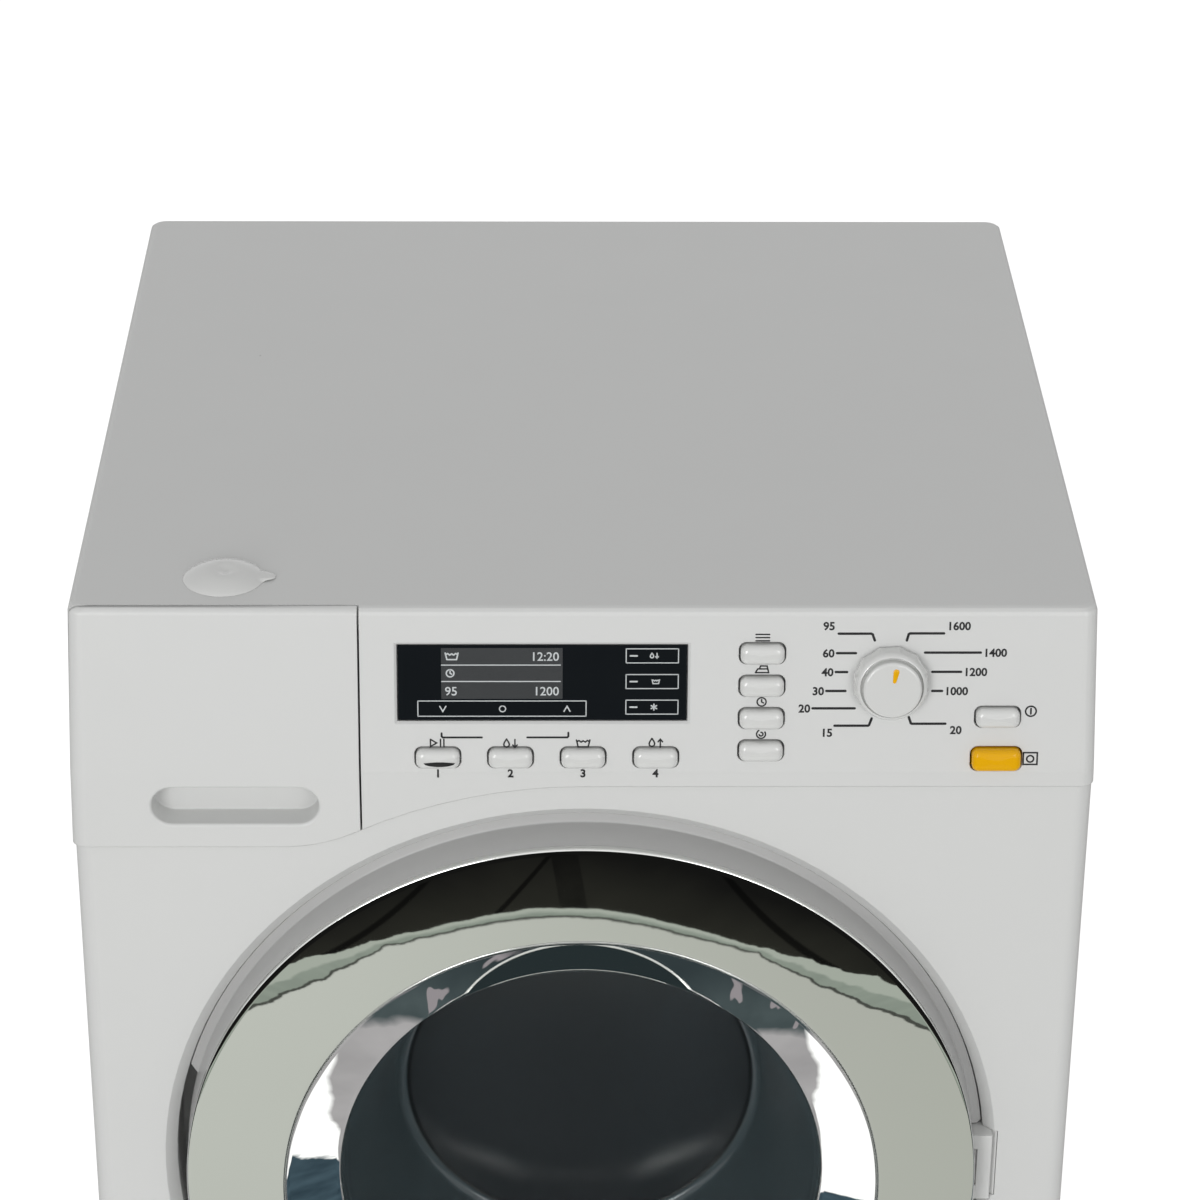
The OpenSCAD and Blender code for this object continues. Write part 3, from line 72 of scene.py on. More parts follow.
# %% [markdown]
# ## Where the panel and the door are
# Two places are used again and again: the leaning panel and the round door. The knob's joint says where the
# panel lies and how it leans, and the drum's joint and the chrome ring say where the door is. Both are turned
# into functions, so that a mark on the panel is written in millimetres across and down, as a sign writer would
# measure it.

# %% The panel's and the door's own coordinates
rightward = np.array([1.0, 0, 0])
panel_out = -np.array(joints["knob_turn"]["axis"], float)
panel_down = np.array([0.0, -panel_out[2], panel_out[1]])
knob_at = (54.7, 13.6)
knob_middle = np.array(joints["knob_turn"]["pos_m"])
panel_zero = knob_middle - MM * (knob_at[0] * rightward + knob_at[1] * panel_down)
door_centre = joints["drum_spin"]["pos_m"]
door_proud = 8.7
front_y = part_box("chrome_ring")[0].y + door_proud * MM


def on_panel(x, u, out):
    """A point of the panel: zero corner + x to the right + u down the slope + out along its normal, in mm."""
    x, u, out = np.broadcast_arrays(np.asarray(x, float), u, out)
    shift = x[..., None] * rightward + u[..., None] * panel_down + out[..., None] * panel_out
    return panel_zero + MM * shift


def on_door(r, a, out):
    """A point of the door: radius r at the angle a from the top, out mm in front of the casing's face."""
    r, a, out = np.broadcast_arrays(np.asarray(r, float), a, out)
    x = door_centre[0] + MM * r * np.sin(a)
    z = door_centre[2] + MM * r * np.cos(a)
    return np.stack([x, front_y - MM * out, z], -1)


print("panel leans", round(math.degrees(math.asin(panel_out[2])), 2), "deg; front face at y", round(front_y, 5))

# %% [markdown]
# ## The camera
# The photograph was taken from above and in front with a long lens. The cover's corners, the display and the
# door's circles were fitted to a pinhole camera, which gave its place, its turn and its focal length.

# %% Camera
yaw, pitch, roll = 0.0162, 0.4905, 0.0076
camera_at = (-0.0072445, -0.707339, 0.59563)
ahead = Vector((math.sin(yaw) * math.cos(pitch), math.cos(yaw) * math.cos(pitch), -math.sin(pitch)))
level = Vector((math.cos(yaw), -math.sin(yaw), 0))
upward = level.cross(ahead)
right = math.cos(roll) * level + math.sin(roll) * upward
above = math.cos(roll) * upward - math.sin(roll) * level


def linked(name, data):
    """A new object of the scene that holds a camera, a lamp, a mesh or a curve."""
    made = bpy.data.objects.new(name, data)
    bpy.context.scene.collection.objects.link(made)
    return made


lens = bpy.data.cameras.new("camera")
lens.lens, lens.sensor_width = 120.38, 36
lens.clip_start, lens.clip_end = 0.05, 20
camera = linked("camera", lens)
camera.matrix_world = Matrix.Translation(camera_at) @ Matrix((right, above, -ahead)).transposed().to_4x4()
bpy.context.scene.camera = camera
bpy.context.scene.view_settings.view_transform = "Standard"
print("camera", round(lens.lens, 2), "mm,", round(math.degrees(pitch), 1), "deg down")

# %% [markdown]
# ## Small tools for shader nodes
# A finish is a net of nodes. These helpers add a node, join two sockets and make a group with named inputs and
# outputs, so that the recipes below stay short enough to read.


# %% Node helpers
def add(net, kind, values=None, **settings):
    """A new node: settings are its own properties, values go to its inputs, as numbers or joined sockets."""
    made = net.nodes.new(kind)
    for name, value in settings.items():
        setattr(made, name, value)
    for name, value in (values or {}).items():
        give(net, made.inputs[name], value)
    return made


def give(net, socket, value):
    """Joins a socket to another one, or sets it to a constant."""
    if isinstance(value, bpy.types.NodeSocket):
        net.links.new(value, socket)
    else:
        socket.default_value = value


def calc(net, operation, a, b=0.0, c=0.0, clamp=False):
    """One Math node: operation on a, b and c."""
    return add(net, "ShaderNodeMath", {0: a, 1: b, 2: c}, operation=operation, use_clamp=clamp).outputs[0]


def vector_calc(net, operation, a, b=(0.0, 0.0, 0.0)):
    """One Vector Math node. A length and a dot product are numbers, the others are vectors."""
    made = add(net, "ShaderNodeVectorMath", {0: a, 1: b}, operation=operation)
    return made.outputs["Value" if operation in ("LENGTH", "DOT_PRODUCT") else "Vector"]


def blend(net, share, a, b):
    """Colour a where share is 0, colour b where it is 1. A colour is a socket or three numbers."""
    made = add(net, "ShaderNodeMix", data_type="RGBA")
    for slot, value in ((0, share), (6, a), (7, b)):
        give(net, made.inputs[slot], (*value, 1) if isinstance(value, tuple) else value)
    return made.outputs[2]


def noise(net, spot, scale, detail, roughness=0.5):
    """Noise between 0 and 1."""
    values = {"Vector": spot, "Scale": scale, "Detail": detail, "Roughness": roughness}
    return add(net, "ShaderNodeTexNoise", values).outputs["Fac"]


def object_spot(net):
    """The place of a point in the object's own coordinates."""
    return add(net, "ShaderNodeTexCoord").outputs["Object"]


def emptied(owner):
    """The node net of a material or of the world, emptied."""
    owner.use_nodes = True
    owner.node_tree.nodes.clear()
    return owner.node_tree


def blank(name):
    """The material of that name, old or new, and its emptied net."""
    material = bpy.data.materials.get(name) or bpy.data.materials.new(name)
    return material, emptied(material)


def show(net, shader, kind="Material"):
    """Joins the last shader to the output of a material or of the world."""
    give(net, add(net, "ShaderNodeOutput" + kind).inputs["Surface"], shader.outputs[0])


def new_group(title, inputs, outputs):
    """An empty node group with named sockets of the given kinds, its input node and its output node."""
    group = bpy.data.node_groups.new(title, "ShaderNodeTree")
    for side, sockets in (("INPUT", inputs), ("OUTPUT", outputs)):
        for name, kind in sockets.items():
            group.interface.new_socket(name, in_out=side, socket_type="NodeSocket" + kind)
    print("group", title, "from", list(inputs), "to", list(outputs))
    return group, group.nodes.new("NodeGroupInput"), group.nodes.new("NodeGroupOutput")


def use_group(net, group, values):
    """Places a group in a net and gives its inputs."""
    made = add(net, "ShaderNodeGroup", node_tree=group)
    for name, value in values.items():
        give(net, made.inputs[name], value)
    return made


print("node helpers ready")

# %% [markdown]
# ## Effects that several finishes share
# Moulded plastic is never quite even: its colour drifts a little where the melt flowed, and its skin copies
# the fine grain of the steel mould. Handling adds faint rubbed lines that only show as a change of gloss. A
# stored toy also catches a few specks of dust. Each of these is a group, used with other values in each
# material.


# %% Group: moulded skin
def moulded_skin():
    """Colour = base that drifts by slow noise towards a second tone; height = fine noise; gloss = roughness
    that drifts by a cloudy noise times spread."""
    group, src, dst = new_group(
        "moulded_skin",
        {"Vector": "Vector", "Base": "Color", "Second": "Color", "Drift": "Float", "Grain": "Float",
         "Roughness": "Float", "Spread": "Float"},
        {"Color": "Color", "Roughness": "Float", "Height": "Float"})
    spot = src.outputs["Vector"]
    slow = calc(group, "SMOOTH_MIN", noise(group, spot, 22.0, 3.0, 0.6), 1.0, 0.1)
    drift = calc(group, "MULTIPLY", slow, src.outputs["Drift"], clamp=True)
    give(group, dst.inputs["Color"], blend(group, drift, src.outputs["Base"], src.outputs["Second"]))
    give(group, dst.inputs["Height"], noise(group, spot, src.outputs["Grain"], 2.0))
    cloudy = calc(group, "SUBTRACT", noise(group, spot, 90.0, 4.0), 0.5)
    gloss = calc(group, "MULTIPLY_ADD", cloudy, src.outputs["Spread"], src.outputs["Roughness"], clamp=True)
    give(group, dst.inputs["Roughness"], gloss)
    return group


SKIN = moulded_skin()


# %% Group: rubbed lines
def rubbed_lines():
    """Mask of hair-fine lines: noise squeezed hard along one axis and cut at a high level, faded by a slower
    noise."""
    group, src, dst = new_group(
        "rubbed_lines", {"Vector": "Vector", "Turn": "Vector", "Density": "Float"}, {"Mask": "Float"})
    spot = src.outputs["Vector"]
    masks = []
    for squeeze in ((1500.0, 40.0, 900.0), (60.0, 1300.0, 1100.0)):
        values = {"Vector": spot, "Rotation": src.outputs["Turn"], "Scale": squeeze}
        squeezed = add(group, "ShaderNodeMapping", values).outputs[0]
        masks.append(calc(group, "SUBTRACT", noise(group, squeezed, 1.0, 1.0), 0.66, clamp=True))
    both = calc(group, "MULTIPLY", calc(group, "ADD", *masks), 6.0, clamp=True)
    patchy = calc(group, "SUBTRACT", noise(group, spot, 45.0, 2.0), 0.42, clamp=True)
    kept = calc(group, "MULTIPLY", both, patchy)
    give(group, dst.inputs["Mask"], calc(group, "MULTIPLY", kept, src.outputs["Density"], clamp=True))
    return group


LINES = rubbed_lines()


# %% Group: dust specks
def dust_specks():
    """Mask of small round specks: distance to the nearest random point, cut at a radius that differs per
    point."""
    group, src, dst = new_group(
        "dust_specks", {"Vector": "Vector", "Scale": "Float", "Size": "Float"}, {"Mask": "Float"})
    values = {"Vector": src.outputs["Vector"], "Scale": src.outputs["Scale"]}
    cells = add(group, "ShaderNodeTexVoronoi", values)
    chance = add(group, "ShaderNodeSeparateColor", {"Color": cells.outputs["Color"]}).outputs[0]
    some = calc(group, "SUBTRACT", chance, 0.72, clamp=True)
    radius = calc(group, "MULTIPLY", some, src.outputs["Size"])
    inside = calc(group, "SUBTRACT", radius, cells.outputs["Distance"])
    give(group, dst.inputs["Mask"], calc(group, "MULTIPLY", inside, 60.0, clamp=True))
    return group


SPECKS = dust_specks()

# %% [markdown]
# ## Plastics
# The casing is satin white, the buttons are polished white, and the parts inside are plainer. All of them
# use the same recipe: skin colour, a rubbed-line gloss change, dust on the faces that look up, and a Bevel
# node that rounds the last fraction of a millimetre of each moulded edge, as a mould's edge does.

# %% Recipe for a plastic
DUST = (0.19, 0.18, 0.16)


def skin(net, spot, base, second, drift, grain, roughness, spread):
    """Colour, gloss and height of the moulded skin."""
    made = use_group(net, SKIN, {"Vector": spot, "Base": (*base, 1), "Second": (*second, 1), "Drift": drift,
                                 "Grain": grain, "Roughness": roughness, "Spread": spread})
    return [made.outputs[name] for name in ("Color", "Roughness", "Height")]


def rub(net, spot, turn, density, scuff, gloss):
    """Gloss grows by scuff at most where the rubbed lines are."""
    lines = use_group(net, LINES, {"Vector": spot, "Turn": turn, "Density": density})
    return calc(net, "MULTIPLY_ADD", lines.outputs["Mask"], scuff, gloss, clamp=True)


def relief(net, shader, height, depth, edge, strength):
    """Edges rounded by edge and a grain as deep as depth, both in mm."""
    rounded_edge = add(net, "ShaderNodeBevel", {"Radius": edge * MM}, samples=4)
    values = {"Strength": strength, "Distance": depth * MM, "Height": height, "Normal": rounded_edge.outputs[0]}
    give(net, shader.inputs["Normal"], add(net, "ShaderNodeBump", values).outputs[0])


def plastic(slot, base, second, drift=0.5, roughness=0.35, spread=0.06, grain=2600.0, depth=0.004, edge=0.2,
            rubbed=0.5, dust=0.0, **sockets):
    """Principled shader from the shared groups; depth and edge are in mm, further sockets are set by name."""
    material, net = blank(slot)
    spot = object_spot(net)
    colour, gloss, height = skin(net, spot, base, second, drift, grain, roughness, spread)
    if rubbed:
        gloss = rub(net, spot, (0.3, 0.2, 0.5), rubbed, 0.2, gloss)
    if dust:
        specks = use_group(net, SPECKS, {"Vector": spot, "Scale": 95.0, "Size": dust}).outputs["Mask"]
        normal = add(net, "ShaderNodeNewGeometry").outputs["True Normal"]
        up = add(net, "ShaderNodeSeparateXYZ", {0: normal}).outputs[2]
        on_top = calc(net, "MULTIPLY", specks, calc(net, "GREATER_THAN", up, 0.8))
        colour = blend(net, on_top, colour, DUST)
    shader = add(net, "ShaderNodeBsdfPrincipled", {"Base Color": colour, "Roughness": gloss})
    for name, value in sockets.items():
        shader.inputs[name.replace("_", " ").title().replace("Ior", "IOR")].default_value = value
    relief(net, shader, height, depth, edge, 0.35)
    show(net, shader)
    return material


# %% Plastics and rubber
plastic("white_plastic", (0.70, 0.705, 0.695), (0.655, 0.66, 0.655), 0.35, 0.36, 0.07, depth=0.006, edge=0.25,
        dust=0.10)
plastic("button_white", (0.71, 0.715, 0.70), (0.67, 0.675, 0.67), 0.3, 0.14, 0.04, depth=0.002, edge=0.1,
        coat_weight=0.4, coat_roughness=0.06)
plastic("button_yellow", (0.84, 0.44, 0.002), (0.76, 0.37, 0.001), 0.4, 0.16, 0.05, depth=0.002, edge=0.1,
        specular_ior_level=0.22)
plastic("inner_white", (0.68, 0.68, 0.665), (0.62, 0.62, 0.605), 0.4, 0.42, 0.1, depth=0.008, edge=0.2)
# grey finish of the door's frame: painted shade for the recess round the door
plastic("frame_painted_shade", (0.52, 0.52, 0.515), (0.46, 0.46, 0.455), 0.5, 0.34, 0.08, depth=0.006, edge=0.25)
plastic("grey_plastic", (0.42, 0.425, 0.42), (0.36, 0.365, 0.36), 0.5, 0.45, 0.1, depth=0.01, edge=0.2)
plastic("dark_plastic", (0.018, 0.018, 0.019), (0.03, 0.03, 0.032), 0.5, 0.42, 0.12, depth=0.01, edge=0.2)
plastic("rubber_grey", (0.20, 0.20, 0.195), (0.15, 0.15, 0.145), 0.5, 0.62, 0.12, grain=1500.0, depth=0.02,
        edge=0.3)
plastic("circuit_green", (0.02, 0.11, 0.035), (0.03, 0.16, 0.05), 0.8, 0.3, 0.1, grain=900.0, depth=0.01,
        edge=0.1)
print("plastics made")

# %% [markdown]
# ## Metals and glass
# Chrome plating on plastic is a mirror with the faintest haze and a few rubbed lines. Drawn steel and the drum
# are rougher. The door's bowl is smoke-tinted plastic glass, so the drum behind it stays in the dark.


# %% Recipe for a metal
def metal(slot, base, roughness, spread, lines=0.6, depth=0.002, edge=0.15, grain=1800.0, brushed=None,
          scuff=0.25):
    """Principled metal: gloss drifts with the skin group and grows along rubbed or brushed lines."""
    net = blank(slot)[1]
    spot = object_spot(net)
    second = tuple(0.93 * c for c in base)
    colour, gloss, height = skin(net, spot, base, second, 0.6, grain, roughness, spread)
    gloss = rub(net, spot, (0.1, 0.6, 0.2), lines, scuff, gloss)
    if brushed:
        drawn = add(net, "ShaderNodeMapping", {"Vector": spot, "Scale": brushed}).outputs[0]
        height = calc(net, "ADD", height, noise(net, drawn, 1.0, 3.0))
    values = {"Base Color": colour, "Metallic": 1.0, "Roughness": gloss}
    shader = add(net, "ShaderNodeBsdfPrincipled", values)
    relief(net, shader, height, depth, edge, 0.3)
    show(net, shader)


metal("chrome_plated", (0.80, 0.81, 0.79), 0.010, 0.006, depth=0.0002, edge=0.03, scuff=0.05)
metal("drum_silver", (0.62, 0.63, 0.64), 0.3, 0.1, depth=0.004, brushed=(40.0, 2400.0, 40.0))
metal("steel", (0.55, 0.55, 0.54), 0.28, 0.12, depth=0.003, brushed=(1800.0, 60.0, 60.0))
metal("bearing_brass", (0.72, 0.52, 0.22), 0.3, 0.12, depth=0.003)
print("metals made")


# %% Tinted glass and the display's lens
def smoked_glass(slot, floor_tint, wall_tint_and_reflection, floor_r, roughness):
    """Smoked plastic glass: mostly clear with a tint, a little milky. The tint is darker inside the radius
    floor_r round the door's axis. Outside it the wall keeps the smoke's tint, made lighter and bluer by a
    painted reflection of the room on the bowl's side, and a painted dark line of shade runs round the floor at
    the crease."""
    net = blank(slot)[1]
    spot = object_spot(net)
    # crease_shade is a painted dark line of shade at the bend round the bowl's floor
    blend_w, crease_w, crease_shade = 0.5, 0.7, (0.004, 0.005, 0.006)
    from_axis = vector_calc(net, "SUBTRACT", spot, tuple(door_centre))
    radius = vector_calc(net, "LENGTH", vector_calc(net, "MULTIPLY", from_axis, (1.0, 0.0, 1.0)))
    from_floor = calc(net, "SUBTRACT", radius, floor_r * MM)
    beyond = calc(net, "DIVIDE", from_floor, blend_w * MM, clamp=True)
    off_crease = calc(net, "DIVIDE", calc(net, "ABSOLUTE", from_floor), crease_w * MM)
    crease = calc(net, "SUBTRACT", 1.0, off_crease, clamp=True)
    second = tuple(0.6 * c for c in wall_tint_and_reflection)
    wall, gloss, _ = skin(net, spot, wall_tint_and_reflection, second, 1.0, 900.0, roughness, 0.02)
    colour = blend(net, beyond, floor_tint, wall)
    colour = blend(net, calc(net, "MULTIPLY", crease, 0.75), colour, crease_shade)
    gloss = rub(net, spot, (0.5, 0.1, 0.3), 0.4, 0.1, gloss)
    shader = add(net, "ShaderNodeBsdfPrincipled", {"Base Color": colour, "Roughness": gloss})
    shader.inputs["Transmission Weight"].default_value = 0.8
    shader.inputs["IOR"].default_value = 1.49
    shader.inputs["Specular IOR Level"].default_value = 0.04
    show(net, shader)


# The second colour is the wall's tint with a painted reflection of the room on the bowl's side.
smoked_glass("tinted_glass", (0.090, 0.104, 0.112), (0.26, 0.335, 0.36), 33.5, 0.16)
plastic("display_lens", (0.006, 0.008, 0.010), (0.009, 0.011, 0.013), 0.5, 0.2, 0.05, grain=3000.0, depth=0.002,
        edge=0.1, rubbed=0.3, specular_ior_level=0.2)
print("materials", len(bpy.data.materials))

# %% [markdown]
# ## Surfaces from rings
# The door, the buttons, the knob and the plug are all stacks of closed rings. A ring is a row of points round
# the piece, and the rows together are a grid. Neighbouring rows are joined with four-sided faces. The ends
# close in a single point, so that the shell has no hole.


# %% Build a shell from rings
def shell(name, rings, tips=(None, None), loop=False):
    """Grid of points (rows, columns, 3), each row closed on itself. A tip closes an end, and with loop the last
    row is joined to the first."""
    rings = np.asarray(rings, float)
    rows, cols = rings.shape[:2]
    index = np.arange(rows * cols).reshape(rows, cols)
    low, high = (index, np.roll(index, -1, 0)) if loop else (index[:-1], index[1:])
    quads = np.stack([low, np.roll(low, -1, 1), np.roll(high, -1, 1), high], -1).reshape(-1, 4)
    points, faces = [rings.reshape(-1, 3)], quads.tolist()
    for tip, row in zip(tips, (index[0], index[-1])):
        if tip is not None:
            centre = np.full(cols, sum(len(p) for p in points))
            points.append(np.asarray(tip, float).reshape(1, 3))
            faces += np.stack([row, np.roll(row, -1), centre], -1).tolist()
    return solid(name, np.concatenate(points), faces)


def solid(name, points, faces, smooth=True, angle=40.0):
    """A closed mesh whose faces are turned outwards, smooth except over edges sharper than the angle."""
    mesh = bpy.data.meshes.new(name)
    mesh.from_pydata(np.asarray(points).tolist(), [], faces)
    work = bmesh.new()
    work.from_mesh(mesh)
    bmesh.ops.recalc_face_normals(work, faces=work.faces)
    work.to_mesh(mesh)
    work.free()
    mesh.polygons.foreach_set("use_smooth", np.full(len(mesh.polygons), smooth))
    mesh.set_sharp_from_angle(angle=math.radians(angle))
    return linked(name, mesh)


def place(piece, slot, body, *nodes):
    """Gives a piece its finish and the body that carries it, and hides the CAD nodes that it stands for."""
    piece.data.materials.clear()
    piece.data.materials.append(bpy.data.materials[slot])
    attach(piece, body)
    if nodes:
        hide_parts(*nodes)
    print(piece.name, len(piece.data.polygons), "faces on", body)
    return piece


def rounded(points, radius, steps=6, pitch=0.8):
    """A closed profile with rounded corners: each is replaced by a quadratic curve between its two cuts. The
    straight stretches get a point every pitch, so that smooth shading keeps them flat."""
    points = np.asarray(points, float)
    radius = np.broadcast_to(radius, len(points))
    before, after = np.roll(points, 1, 0) - points, np.roll(points, -1, 0) - points
    lengths = [np.linalg.norm(side, axis=1) for side in (before, after)]
    cuts = [np.minimum(radius, 0.45 * length) / length for length in lengths]
    t = np.linspace(0, 1, steps)[None, :, None]
    start, end = points + before * cuts[0][:, None], points + after * cuts[1][:, None]
    loop = (1 - t) ** 2 * start[:, None] + 2 * t * (1 - t) * points[:, None] + t * t * end[:, None]
    loop = loop.reshape(-1, 2)
    following = np.roll(loop, -1, 0)
    parts = np.ceil(np.linalg.norm(following - loop, axis=1) / pitch).astype(int)
    return np.concatenate([np.linspace(p, q, n, endpoint=False) for p, q, n in zip(loop, following, parts)])


def full_turn(columns):
    """The angles of a full turn, as one row of a grid."""
    return np.linspace(0, 2 * np.pi, columns, endpoint=False)[None, :]


def turned(name, profile, columns=288):
    """A closed profile of (radius, out) carried round the door's axis."""
    return shell(name, on_door(profile[:, :1], full_turn(columns), profile[:, 1:]), loop=True)


print("shell tools ready")

# %% [markdown]
# ## Cutting
# A notch or a slot is taken away with an exact Boolean, as a cutter takes it out of a block. Afterwards large
# faces keep their own normals and only the small ones between them bend, so that a flat face stays flat.


# %% Cut and settle
def finished_mesh(piece):
    """What a piece's modifiers, or a letter's curve, give as a mesh."""
    return bpy.data.meshes.new_from_object(piece.evaluated_get(bpy.context.evaluated_depsgraph_get()))


def settle(piece):
    """Makes what the modifiers give the piece's own mesh."""
    bpy.context.view_layer.update()
    mesh = finished_mesh(piece)
    piece.modifiers.clear()
    piece.data = mesh
    return mesh


def carved(piece, *cutters):
    """Takes solids away from a piece, marks its sharp edges and weighs its normals by the faces' areas."""
    for cutter in cutters:
        cut = piece.modifiers.new("cut", "BOOLEAN")
        cut.operation, cut.solver, cut.object = "DIFFERENCE", "EXACT", cutter
    mesh = settle(piece)
    mesh.polygons.foreach_set("use_smooth", np.full(len(mesh.polygons), True))
    mesh.set_sharp_from_angle(angle=math.radians(35))
    for cutter in cutters:
        bpy.data.objects.remove(cutter)
    piece.modifiers.new("normals", "WEIGHTED_NORMAL").keep_sharp = True
    settle(piece)
    return piece


def block(name, x, y, z):
    """A box between two values along each axis, in mm, for cutting."""
    corners = np.stack(np.meshgrid(x, y, z, indexing="ij"), -1).reshape(-1, 3) * MM
    faces = [(0, 1, 3, 2), (4, 6, 7, 5), (0, 4, 5, 1), (2, 3, 7, 6), (0, 2, 6, 4), (1, 5, 7, 3)]
    return solid(name, corners, faces, smooth=False)


def post(name, section, z):
    """A straight solid: a closed outline in x and y carried from one height to another, in mm."""
    rings = [np.hstack([section, np.full((len(section), 1), v)]) * MM for v in z]
    return shell(name, rings, [ring.mean(0) for ring in rings])


def span(middle, half):
    """The two ends of a stretch, from its middle and half its length."""
    return middle - half, middle + half


print("cutting tools ready")

# %% [markdown]
# ## The door's round parts
# Chrome shows every facet, so the ring and the bezel are turned again from finely rounded profiles in 288
# steps. The ring's face falls gently outwards, and the bezel falls inwards to the glass like a funnel.

# %% Chrome ring
ring_in, ring_out, ring_edge, ring_t = 55.7, 74.05, 6.8, 1.5
profile = rounded([(ring_in, door_proud - ring_t), (ring_in, door_proud), (ring_out, ring_edge),
                   (ring_out, ring_edge - ring_t), (ring_in + 3, ring_edge - 0.1)], [0.05, 0.15, 0.3, 0.2, 0.1])
place(turned("chrome_ring_turned", profile), "chrome_plated", "door", "chrome_ring")

# %% Bezel
glass_r, glass_out, bezel_t, bead = 45.2, 2.7, 1.5, 0.34
bezel_r, bezel_foot = ring_in - 0.04, door_proud - 2.4
bead_in, bead_top = bezel_r - bead, door_proud - 0.03
lip_r, lip_back = glass_r + 2, glass_out - bezel_t - 0.4
profile = rounded([(glass_r, glass_out), (glass_r + 0.3, glass_out + bead), (bead_in, door_proud - 0.35),
                   (bead_in, bead_top), (bezel_r, bead_top), (bezel_r, bezel_foot),
                   (bezel_r - 1.6, door_proud - 2.6), (lip_r, lip_back + 1.0), (lip_r, lip_back),
                   (glass_r, lip_back)], [0.12, 0.1, 0.1, 0.17, 0.17, 0.1, 0.1, 0.1, 0.1, 0.1])
place(turned("glass_bezel_turned", profile), "chrome_plated", "door", "glass_bezel")

# %% [markdown]
# ## The door's frame and the hinge block
# Behind the ring a frame holds the door together. Its grey finish is painted shade, which darkens the recess
# round the door. Its flange leaves room for the child's fingers on the left and for the hinge on the right,
# where a plain block on the casing holds the hinge's knuckle. The frame is turned like the ring, with a radius
# that also depends on the angle. Two notches for the hinge are cut from it.

# %% Door frame
face, door_z = front_y / MM, door_centre[2] / MM
hinge_x, knuckle_r, ear_h, play = 75.4, 1.8, 7.3, 0.3
arm_half, cut_in, cut_out = 4.2, 72, 80


def frame_shell():
    """Frame behind the ring, grey with painted shade: an almost straight side with a flange at its foot. The
    flange is drawn in to the side over two arcs, at the finger pocket on the left and at the hinge on the
    right."""
    mouth, seat, side_r, foot_r, flange_r, door_back, frame_t = 46.8, 53.4, 73.95, 74.4, 76.2, 4.5, 2.0
    top, inner_top, inner_back = ring_edge - ring_t - 0.05, bezel_foot - 0.25, frame_t - door_back
    section = rounded([(mouth, -door_back), (flange_r, -door_back), (flange_r, -2.6), (foot_r, -2.3),
                       (side_r, top), (side_r - frame_t, top), (foot_r - frame_t, inner_back),
                       (seat + frame_t, inner_back), (seat + frame_t, inner_top), (seat + 0.6, inner_top),
                       (seat + 0.6, inner_back), (mouth, inner_back)],
                      [0.1, 0.4, 0.15, 0.3, 0.2, 0.1, 0.3, 0.3, 0.1, 0.1, 0.3, 0.1], pitch=2.5)
    a = full_turn(288)
    pocket_half, hinge_half = math.radians(15.5), math.radians(6.0)
    kept = (np.abs(a - 1.5 * np.pi) > pocket_half) & (np.abs(a - 0.5 * np.pi) > hinge_half)
    r, drawn_in = section[:, :1], foot_r + 0.05
    r = np.where(r > drawn_in, drawn_in + (r - drawn_in) * kept, r)
    return shell("door_frame_turned", on_door(r, a, section[:, 1:]), loop=True)


notch_y = (face - 3.0, face + 6)
frame_piece = carved(
    frame_shell(),
    block("arm_notch", (hinge_x - knuckle_r - 4.2, cut_out), notch_y, span(door_z, arm_half)),
    block("ear_notch", (hinge_x - knuckle_r - 0.7, cut_out), notch_y, span(door_z, ear_h + play)))
place(frame_piece, "inner_white", "door", "door_frame")
# The frame's grey finish is painted shade that darkens the recess round the door.
frame_piece.data.materials[0] = bpy.data.materials["frame_painted_shade"]

# %% Hinge block
block_in, block_out, seat_out = hinge_x - knuckle_r, 77.7, 78.7
block_front, seat_front, seat_back = face - 1.35, face + 0.1, face + 6.9
cover_x = hinge_x - 0.45
section = rounded([(block_in, block_front), (block_out, block_front), (block_out, face + 0.8),
                   (78.45, seat_front), (seat_out, seat_front), (seat_out, seat_back), (block_in, seat_back)],
                  [0.35, 0.35, 0.05, 0.05, 0.05, 0.1, 0.1])
bracket = carved(
    post("hinge_bracket_block", section, span(door_z, ear_h)),
    block("knuckle_room", (cut_in, 77.5), (face - 1.05, face + 9), span(door_z, arm_half)),
    block("arm_way", (cut_in, cover_x), (face - 4, face + 1), span(door_z, arm_half)))
place(bracket, "white_plastic", "cabinet", "hinge_bracket")
bpy.data.objects["door_hinge"].material_slots[0].material = bpy.data.materials["white_plastic"]

# %% [markdown]
# ## The glass bowl
# The bowl is pressed from one sheet of smoked plastic: a cone that narrows to a flat floor. Its half section
# goes round the outside and back along the inside, so that the wall has a true thickness for the light.


# %% Glass bowl
def bowl_profile():
    """Half section from the middle of the back round the outside to the flange and back along the inside. The
    wall is a cone that narrows from the mouth to the floor, and a quarter round joins the two."""
    floor_r, floor_out, bend, wall_t = 33.2, -28.2, 2.6, 1.5
    door_back, lip, flange = 4.5, 46.5, 48.6
    mouth_r, mouth_out, flange_out = glass_r - 0.2, glass_out - bezel_t - 0.5, -door_back + 2.1
    t = np.linspace(0, np.radians(72), 13)
    inner, outer = [np.stack([floor_r + r * np.sin(t), floor_out + bend - r * np.cos(t)], 1)
                    for r in (bend, bend + wall_t)]
    radii = np.linspace(0.02, 0.98, 24)[:, None] * floor_r
    back, front = [np.hstack([radii, np.full_like(radii, out)]) for out in (floor_out - wall_t, floor_out)]
    k = np.linspace(0, 1, 20)[1:-1, None]
    cone = inner[-1] * (1 - k) + np.array([mouth_r, mouth_out]) * k
    rim = np.array([[lip - 0.4, -door_back], [lip, flange_out], [flange, flange_out], [flange, mouth_out],
                    [mouth_r, mouth_out]])
    return np.vstack([back, outer, rim, cone[::-1], inner[::-1], front[::-1]])


